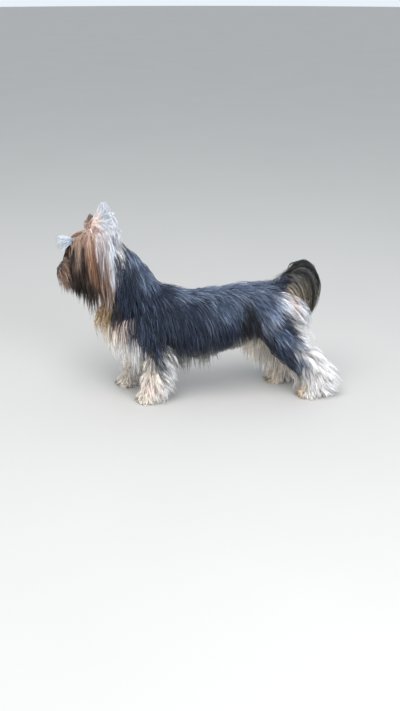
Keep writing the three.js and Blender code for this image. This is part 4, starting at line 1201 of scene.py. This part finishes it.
def comb(reader, groom, roots, normals, ears, length, depth, hang, layer, curl, rng):
    """Guides: the path of each tress from its root, combed, hanging and kept off the skin by its layer of the
    coat. Returns points, the direction away from the skin at each, and how far off the skin the first part of
    each guide stands."""
    count = len(roots)
    step = (length / STEPS)[:, None]
    way, _ = groom.lie(roots, ears)
    heading = way - (way * normals).sum(1)[:, None] * normals * 0.9 + normals * (0.12 + 0.33 * layer[:, None])
    heading = unit(heading)
    path = np.zeros((STEPS + 1, count, 3))
    away = np.zeros_like(path)
    path[0], away[0] = roots - normals * ROOT_DEPTH, normals
    here = roots.copy()
    sway = rng.normal(0, 0.06, (count, 3))
    phase = 3 * drift(roots, 30 * MM, 5.0) + rng.normal(0, 0.5, count)
    rise = np.minimum(0.3, 9 * MM / length)
    down = np.array((0, 0, -1.0))
    stands = np.zeros(count)
    for k in range(1, STEPS + 1):
        s = k / STEPS
        lie, numbers = groom.lie(here, ears)
        # the combed way wanders a little aside, and a curl swings about it
        wander = 0.14 * drift(here, 46 * MM, 1.3) + 0.07 * drift(here, 19 * MM, 4.1)
        lie = lie + np.cross(away[k - 1], lie) * wander[:, None]
        beside = np.cross(away[k - 1], heading) * (curl * np.sin(phase + s * length / (13 * MM)))[:, None]
        pulls = lie * (1 - hang)[:, None] + down * hang[:, None] + sway + beside
        heading = unit(heading + pulls * (0.45 + 0.75 * s))
        there = here + heading * step
        spots, skin_normals, height = reader.nearest(there)
        if k <= FIRST_STEPS:
            stands = np.maximum(stands, np.linalg.norm(there - spots, axis=1))
        # hair keeps its layer's height over the skin, and short combed hair is drawn back to it
        room = np.maximum(depth, numbers[:, 1] * np.minimum(1, hang + 0.3))
        least = room * layer * smooth(s / rise) * (1 - 0.35 * s * s) + 0.4 * MM
        short = np.maximum(0, least - height)
        pull = 0.45 * (1 - smooth((numbers[:, 1] - 11 * MM) / (6 * MM))) * (1 - hang)
        pull = np.maximum(pull, 0.5 * (1 - smooth(s / 0.5)) * (numbers[:, 1] < 12 * MM))
        far = np.maximum(0, height - least) * pull * (height < 3 * room)
        there = there + skin_normals * (short - far)[:, None]
        there[:, 2] = np.maximum(there[:, 2], LOWEST_HAIR)
        moved = unit(there - here)
        there = here + moved * step
        heading = heading * 0.35 + moved * 0.65
        path[k], here = there, there
        outward = skin_normals - (skin_normals * moved).sum(1)[:, None] * moved
        size = np.linalg.norm(outward, axis=1)[:, None]
        away[k] = np.where(size > 0.2, outward / np.maximum(size, 1e-9), away[k - 1])
    away[0] = away[1]
    return path, away, stands


def bundle(curves, spreads, count, rng):
    """Guides that run between curves of a gathered bundle of hair: each guide takes its own place between two
    neighbouring curves and off to one side. Curves are places in scene metres, and spreads is the half width
    of the bundle along it in millimetres. Returns points, the direction outwards at each, and how far from the
    first curve to the last each guide is."""
    rings = np.array([even_rings(np.array(c, float)[:, None, :], STEPS + 1)[:, 0] for c in curves])
    along = np.linspace(0, 1, STEPS + 1)
    spreads = np.interp(along, np.linspace(0, 1, len(spreads)), spreads) * MM
    where = rng.random(count) * (len(curves) - 1)
    low = np.minimum(where.astype(int), len(curves) - 2)
    f = (where - low)[:, None, None]
    mid = rings[low] * (1 - f) + rings[low + 1] * f
    ahead = unit(np.gradient(mid, axis=1))
    aside = unit(np.cross(ahead, rings[0][None] - rings[-1][None] + 1e-6))
    share = rng.uniform(-1, 1, count)[:, None, None]
    path = mid + aside * share * spreads[None, :, None]
    outward = np.cross(aside, ahead) * np.sqrt(1 - 0.8 * share ** 2) + aside * share
    return np.swapaxes(path, 0, 1), np.swapaxes(outward, 0, 1), where / (len(curves) - 1)


def strand_mesh(name, spine, aside, up, half_width, ring_tones, patches, shifts):
    """One mesh of tapered three-sided strands. spine, aside and up are points and directions at each ring of
    each strand, patches is each strand's place on the unwrap for baking its colours, and shifts gives each its
    own streaks."""
    count, rings = spine.shape[0], spine.shape[1]
    s = np.linspace(0, 1, rings)
    width = half_width[:, None] * np.interp(s, *STRAND_PROFILE)[None, :-1]
    angles = np.array([math.pi / 2, math.pi * 7 / 6, math.pi * 11 / 6])
    corners = (spine[:, :-1, None, :]
               + aside[:, :-1, None, :] * (np.cos(angles)[None, None, :, None] * width[:, :, None, None])
               + up[:, :-1, None, :] * (np.sin(angles)[None, None, :, None] * width[:, :, None, None]
                                        * STRAND_FLATNESS))
    body = corners.reshape(count, (rings - 1) * 3, 3)
    points = np.concatenate([body, spine[:, -1:, :]], axis=1)
    per = points.shape[1]
    # four-sided faces along the strand, three at its tip and one at its root
    quads = [(k * 3 + j, k * 3 + (j + 1) % 3, k * 3 + (j + 1) % 3 + 3, k * 3 + j + 3)
             for k in range(rings - 2) for j in range(3)]
    last = (rings - 2) * 3
    triangles = [(last + j, last + (j + 1) % 3, per - 1) for j in range(3)] + [(2, 1, 0)]
    starts = (np.arange(count) * per)[:, None, None]
    loops = np.concatenate([(np.array(shape)[None] + starts).reshape(-1) for shape in (quads, triangles)])
    quad_count, tri_count = count * len(quads), count * len(triangles)
    sizes = np.concatenate([np.full(quad_count, 4), np.full(tri_count, 3)])
    mesh = bpy.data.meshes.new(name)
    mesh.vertices.add(count * per)
    mesh.vertices.foreach_set("co", points.astype(np.float32).ravel())
    mesh.loops.add(len(loops))
    mesh.loops.foreach_set("vertex_index", loops.astype(np.int32))
    mesh.polygons.add(quad_count + tri_count)
    mesh.polygons.foreach_set("loop_start", np.concatenate([[0], np.cumsum(sizes)[:-1]]).astype(np.int32))
    mesh.update(calc_edges=True)
    # how far round and along its strand each corner is, with the third side ending at 1 and not at 0
    along = np.concatenate([np.repeat(s[:-1], 3), [1.0]])
    around = np.concatenate([np.tile(np.arange(3) / 3, rings - 1), [0.5]])
    owner, place = loops // per, loops % per
    wraps = [[j == 2 and corner in (1, 2) for _ in range(rings - 2) for j in range(3) for corner in range(4)],
             [j == 2 and corner == 1 for j in range(4) for corner in range(3)]]
    u = np.where(np.concatenate([np.tile(np.array(wrap), count) for wrap in wraps]), 1.0, around[place])
    # the hidden root end gets a sliver of its own patch, so that it has some area there too
    root_end = np.concatenate([np.zeros(quad_count * 4, bool), np.tile(np.arange(12) == 10, count)])
    v = np.where(root_end, 0.05, along[place])
    fine = np.stack([u + shifts[owner] * 17.3, v * 3 + shifts[owner] * 31.7], 1)
    flat = patches[owner] + (np.stack([u, v], 1) - 0.5) * PATCH
    for layer, spots in (("strand", fine), ("OFBake", flat)):
        mesh.uv_layers.new(name=layer).data.foreach_set("uv", spots.astype(np.float32).ravel())
    colours = np.ones((count, per, 4))
    colours[:, :, :3] = ring_tones[:, np.rint(along * (rings - 1)).astype(int)]
    paint(mesh, colours)
    return mesh


def grow_strands(path, away, tones, style, radius, width, stray_share, rng):
    """Strands for each guide: spread about it, drawn together towards its tip, each with its own tone and
    sway. Returns the strands' points, sideways and upward directions, half widths, tones and guides."""
    guides, rings = path.shape[1], style["rings"]
    spine = even_rings(path, rings)
    normal = unit(even_rings(away, rings))
    ahead = np.gradient(spine, axis=0)
    reach = np.linalg.norm(ahead, axis=2).sum(0)
    ahead = unit(ahead)
    side = unit(np.cross(normal, ahead))
    up = np.cross(ahead, side)
    owner = np.repeat(np.arange(guides), style["strands"])
    total = len(owner)
    s = np.linspace(0, 1, rings)[None, :, None]
    across, along = (rng.uniform(-1, 1, total)[:, None, None] for _ in range(2))
    raised = rng.uniform(-0.3, 1, total)[:, None, None]
    radius = radius[owner][:, None, None]
    stray = (rng.random(total) < stray_share)[:, None, None]
    draw = np.where(stray, 1 + 0.8 * s, 1 - style["gather"] * smooth(s))
    base, sides, ups, fronts = (np.swapaxes(a, 0, 1)[owner] for a in (spine, side, up, ahead))
    # shorter hairs stop part of the way along the guide
    shrink = rng.uniform(0.62, 1.0, total)
    t = np.linspace(0, 1, rings)[None, :] * shrink[:, None] * (rings - 1)
    low = np.minimum(t.astype(int), rings - 2)
    f = (t - low)[:, :, None]
    rows = np.arange(total)[:, None]
    base, sides, ups, fronts = (a[rows, low] * (1 - f) + a[rows, low + 1] * f
                                for a in (base, sides, ups, fronts))
    phase = rng.uniform(0, math.tau, total)[:, None, None]
    swing = (style["wave"] * reach[owner])[:, None, None] * np.sin(phase + s * 5.5) * s
    made = (base + sides * (across * radius * draw + swing) + fronts * along * radius * style["scatter"]
            + ups * raised * radius * style["loft"] * draw * smooth(s / 0.3))
    made[:, :, 2] = np.maximum(made[:, :, 2], LOWEST_HAIR)
    roll = rng.normal(0, 0.5, total)[:, None, None]
    aside = sides * np.cos(roll) + ups * np.sin(roll)
    rise = ups * np.cos(roll) - sides * np.sin(roll)
    half = width[owner] / 2 * rng.uniform(0.7, 1.25, total) * np.where(stray[:, 0, 0], 0.5, 1)
    # each tress and each hair is a little paler or darker, and some are streaks
    own = np.exp(rng.normal(0, 0.08, guides)[owner] + rng.normal(0, 0.18, total))[:, None, None]
    streaky = rng.random(guides)[owner] * 0.35 + rng.random(total) * 0.65
    share = (smooth((streaky - 0.62) / 0.2) * style["streaks"])[:, None, None]
    start, end = smooth(s / 0.45), smooth((s - 0.45) / 0.55)
    root, middle, tip, streak = (tones[owner][:, k, None, :] for k in range(4))
    plain = root * (1 - start) + middle * (start - end) + tip * end
    share = share * (0.4 + 0.6 * start)
    mine = plain * (1 - share) + streak * share
    if style.get("locks"):
        mine = lock_tones(made, mine, share)
    return made, aside, rise, half, mine * own, owner


def part_of(points):
    """Which part of the coat grows at each place on the skin, and on which side."""
    x, y, z = ((points / MM) - np.array(SHIFT)).T
    head_x, head_y, head_z = in_head(points).T
    part = np.where(x < 5, "shoulder", "loin").astype("<U8")
    part[(x < -98) & (z > 112)] = "neck"
    part[(z < 99) & (x < 20)] = "foreleg"
    part[(x > 85) & (z < 152) & (np.abs(y) > 14)] = "hindleg"
    part[(x > 142) & (z > 198)] = "tail"
    part[(head_x < 30) & (np.hypot(head_x, head_z) < 52) & (z > 225) & (head_z > -42)] = "head"
    part[(head_z > 34) & (head_x > 8) & (np.abs(head_y) > 9)] = "ears"
    side = np.where(np.isin(part, ("head", "ears")), head_y, y)
    return part, np.where(side < 0, LEFT, RIGHT)


def thickets(points):
    """How close the tresses stand at each place, as a share of the usual spacing: closer on the crown and
    muzzle, and a little closer on the lower legs and feet."""
    x, y, z = in_head(points).T
    near = np.hypot(np.hypot(x, y), z) < HEAD_REACH
    share = np.where(near & (z > 20) & (np.abs(y) < 20), CLOSEST, 1.0)
    share = np.where(points[:, 2] < 62 * MM, 0.8, share)
    return np.where(near & (x < -22) & (np.abs(y) < 16), CLOSEST, share)


def of_style(part, key):
    """A value of the style of each part."""
    return np.array([STYLES[name][key] for name in part])


def tress_roots(reader, groom, face_part, settings, rng):
    """Roots of the tresses, closer together where the hair is short. Bare skin gets none: the soles, and round
    the eyes and the nose. Returns the roots, their faces, the gaps round them, and the hair's length, depth and
    hang."""
    roots, faces = reader.roots(rng, ROOTS_TRIED)
    part = face_part[faces]
    _, numbers = groom.lie(roots, part == "ears")
    gaps = settings.spacing * np.interp(numbers[:, 0], [8 * MM, 20 * MM, 34 * MM], [0.42, 0.65, 1.0])
    gaps *= of_style(part, "spacing") * thickets(roots)
    bare = (reader.normals[faces][:, 2] < -0.6) & (roots[:, 2] < 7 * MM)
    for i in np.flatnonzero(part == "head"):
        bare[i] = bare_share(Vector(roots[i])) > 0.3
    kept = spread_out(roots, gaps, np.flatnonzero(~bare))
    return roots[kept], faces[kept], gaps[kept], numbers[kept]


def hair_nodes(name, side):
    """The nodes of hair that a piece of the coat replaces: those of its side, with the beard on the left."""
    return [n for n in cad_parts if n.startswith(HAIR_NODES.get(name, ("-",)))
            and (SIDE_WORDS[side] in n or side == LEFT and n == "beard")]


class TERRIER_OT_coat(bpy.types.Operator):
    """Grow the combed coat over the whole skin, with the plume of the tail and the topknot"""

    bl_idname = "terrier.coat"
    bl_label = "Coat"

    def execute(self, context):
        settings = context.scene.terrier_coat
        rng = np.random.default_rng(settings.seed)
        reader = SkinReader(bpy.data.objects["skin"])
        groom = Groom()
        face_part, face_side = part_of(reader.centres)
        roots, faces, gaps, numbers = tress_roots(reader, groom, face_part, settings, rng)
        part, side, normals = face_part[faces], face_side[faces], reader.normals[faces]
        on_ear = part == "ears"
        length, depth, hang = numbers.T
        length = length * rng.uniform(0.85, 1.12, len(roots))
        layer = rng.uniform(0.10, 1.0, len(roots)) ** 0.9 * (1 + 0.2 * drift(roots, 60 * MM, 2.2))
        path, away, stands = comb(reader, groom, roots, normals, on_ear, length, depth, hang, layer,
                                  of_style(part, "curl"), rng)
        # a hair of the head that springs away from it, as some between crown and ear would, is left out
        upper_half = in_head(roots)[:, 2] > 0
        part[np.isin(part, ("head", "ears")) & upper_half & (stands > SPRUNG_OFF)] = ""
        tones = groom.tone(roots + rng.normal(0, 2.5 * MM, roots.shape), part == "ears")
        tones = tones * (1 + 0.10 * drift(roots, 34 * MM, 0.7))[:, None, None]
        width = np.interp(length, [8 * MM, 40 * MM], [0.45, 1.0]) * settings.width
        width *= np.interp(thickets(roots), [CLOSEST, 1.0], [0.72, 1.0])
        material = hair_material()

        def add_piece(name, style, guides, away, tones, radius, width, root_faces, skin_faces, nodes):
            made, aside, rise, half, own, owner = grow_strands(guides, away, tones, style, radius,
                                                               width * style["width"], settings.stray, rng)
            places = reader.unwrap(skin_faces)[root_faces][owner]
            places = np.clip(places + rng.uniform(-0.002, 0.002, (len(owner), 2)), PATCH, 1 - PATCH)
            mesh = strand_mesh(name, made, aside, rise, half, own, places, rng.random(len(owner)))
            piece = finished(mesh, material)
            if nodes:
                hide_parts(*nodes)

        combed = [(f"coat_{name}_{word}", name, (way,))
                  for name in COMBED_PARTS for way, word in SIDE_WORDS.items()]
        for piece_name, name, ways in (*combed, ("coat_tail", "tail", SIDES)):
            style = STYLES[name]
            mine = np.flatnonzero((part == name) & np.isin(side, ways))
            skin_faces = np.flatnonzero((face_part == name) & np.isin(face_side, ways))
            add_piece(piece_name, style, path[:, mine], away[:, mine], tones[mine],
                      gaps[mine] * style["spread"], width[mine], faces[mine], skin_faces,
                      hair_nodes(name, ways[0]))

        for name, grows_from, curves, spreads, count, radius, outer_tone, inner_tone in BUNDLES:
            count = count
            guides, outward, depth_in = bundle(curves, spreads, count, rng)
            inner = np.clip(depth_in ** 1.5 + rng.normal(0, 0.2, count), 0, 1)[:, None, None]
            mixed = tones_of(outer_tone)[None] * (1 - inner) + tones_of(inner_tone)[None] * inner
            skin_faces = np.flatnonzero(face_part == grows_from)
            add_piece(f"coat_{name}", STYLES[name], guides, outward, mixed, np.full(count, radius * MM),
                      np.full(count, settings.width), reader.nearest_faces(guides[0], skin_faces), skin_faces,
                      HAIR_NODES[name])
        return {"FINISHED"}


# Stage

class TERRIER_OT_stage(bpy.types.Operator):
    """Lay the pale floor, hang the soft lights and set the camera"""

    bl_idname = "terrier.stage"
    bl_label = "Stage"

    def execute(self, context):
        sizes = context.scene.terrier_stage
        material, tree, shader = new_material("Floor, matt paint", Roughness=1.0, Specular_IOR_Level=0.1)
        place = add_node(tree, "ShaderNodeTexCoord")
        mottle = add_node(tree, "ShaderNodeTexNoise", {}, Vector=place.outputs["Object"], Scale=3.0, Detail=3.0)
        shade = add_node(tree, "ShaderNodeMapRange", {}, Value=mottle.outputs["Fac"], To_Min=0.97, To_Max=1.03)
        colour = add_node(tree, "ShaderNodeVectorMath", {"operation": "SCALE"}, i0=tuple(sizes.floor),
                          Scale=shade.outputs["Result"])
        tree.links.new(colour.outputs["Vector"], shader.inputs["Base Color"])
        bm = bmesh.new()
        bmesh.ops.create_circle(bm, cap_ends=True, segments=96, radius=FLOOR_RADIUS)
        mesh = mesh_from(bm, "floor")
        mesh.materials.append(material)
        floor = placed("floor", mesh)

        world = bpy.data.worlds.new("Studio")
        world.use_nodes = True
        background = world.node_tree.nodes["Background"]
        background.inputs["Color"].default_value = (*linear("#dfe6ee"), 1)
        background.inputs["Strength"].default_value = 1.12
        context.scene.world = world

        for name, power, size, place, code in (
                ("overhead", sizes.key, 1.5, (-0.5, -0.9, 2.1), "#ffffff"),
                ("fill", sizes.fill, 1.2, (0.9, -1.8, 0.9), "#f2f6ff")):
            lamp = bpy.data.lights.new(name, "AREA")
            lamp.shape, lamp.size, lamp.energy, lamp.color = "DISK", size, power, linear(code)
            holder = placed(name, lamp)
            holder.location = place
            holder.rotation_euler = (Vector(LIGHTS_AIM) - Vector(place)).to_track_quat("-Z", "Y").to_euler()

        down, turn = sizes.looks_down, sizes.looks_round
        forward = Vector((math.sin(turn) * math.cos(down), math.cos(turn) * math.cos(down), -math.sin(down)))
        right = Vector((math.cos(turn), -math.sin(turn), 0))
        up = right.cross(forward)
        camera = bpy.data.cameras.new("camera")
        camera.lens, camera.sensor_width, camera.sensor_fit = sizes.focal, SENSOR, "AUTO"
        camera.clip_start, camera.clip_end = 0.05, 60
        holder = placed("camera", camera)
        focal_pixels = sizes.focal / SENSOR * FRAME_SIZE[1]
        from_middle = [at - size / 2 for at, size in zip(AIM_PIXEL, FRAME_SIZE)]
        holder.location = (body_point(*AIM) - forward * DISTANCE
                           - right * from_middle[0] / focal_pixels * DISTANCE
                           + up * from_middle[1] / focal_pixels * DISTANCE)
        holder.rotation_euler = Matrix((right, up, -forward)).transposed().to_euler()
        context.scene.camera = holder
        context.scene.view_settings.view_transform = "Standard"
        return {"FINISHED"}


OPERATORS = (TERRIER_OT_skin, TERRIER_OT_eyes, TERRIER_OT_nose, TERRIER_OT_claws, TERRIER_OT_coat,
             TERRIER_OT_stage)


class TERRIER_PT_panel(bpy.types.Panel):
    """Buttons and sizes of the terrier"""

    bl_label = "Terrier"
    bl_idname = "TERRIER_PT_panel"
    bl_space_type = "VIEW_3D"
    bl_region_type = "UI"
    bl_category = "Terrier"

    def draw(self, context):
        for group in GROUPS:
            box = self.layout.box()
            settings = getattr(context.scene, group)
            for key in settings.__annotations__:
                box.prop(settings, key)
        for operator in OPERATORS:
            self.layout.operator(operator.bl_idname)


CLASSES = (SkinSizes, CoatSizes, StageSizes, *OPERATORS, TERRIER_PT_panel)
GROUPS = {"terrier_skin": SkinSizes, "terrier_coat": CoatSizes, "terrier_stage": StageSizes}


def register():
    for cls in CLASSES:
        bpy.utils.register_class(cls)
    for name, group in GROUPS.items():
        setattr(bpy.types.Scene, name, PointerProperty(type=group))


def unregister():
    for name in GROUPS:
        delattr(bpy.types.Scene, name)
    for cls in reversed(CLASSES):
        bpy.utils.unregister_class(cls)


def main():
    """Builds the dog and its stage."""
    register()
    for build in (bpy.ops.terrier.skin, bpy.ops.terrier.eyes, bpy.ops.terrier.nose, bpy.ops.terrier.claws,
                  bpy.ops.terrier.coat, bpy.ops.terrier.stage):
        build()


if __name__ == "__main__":
    main()
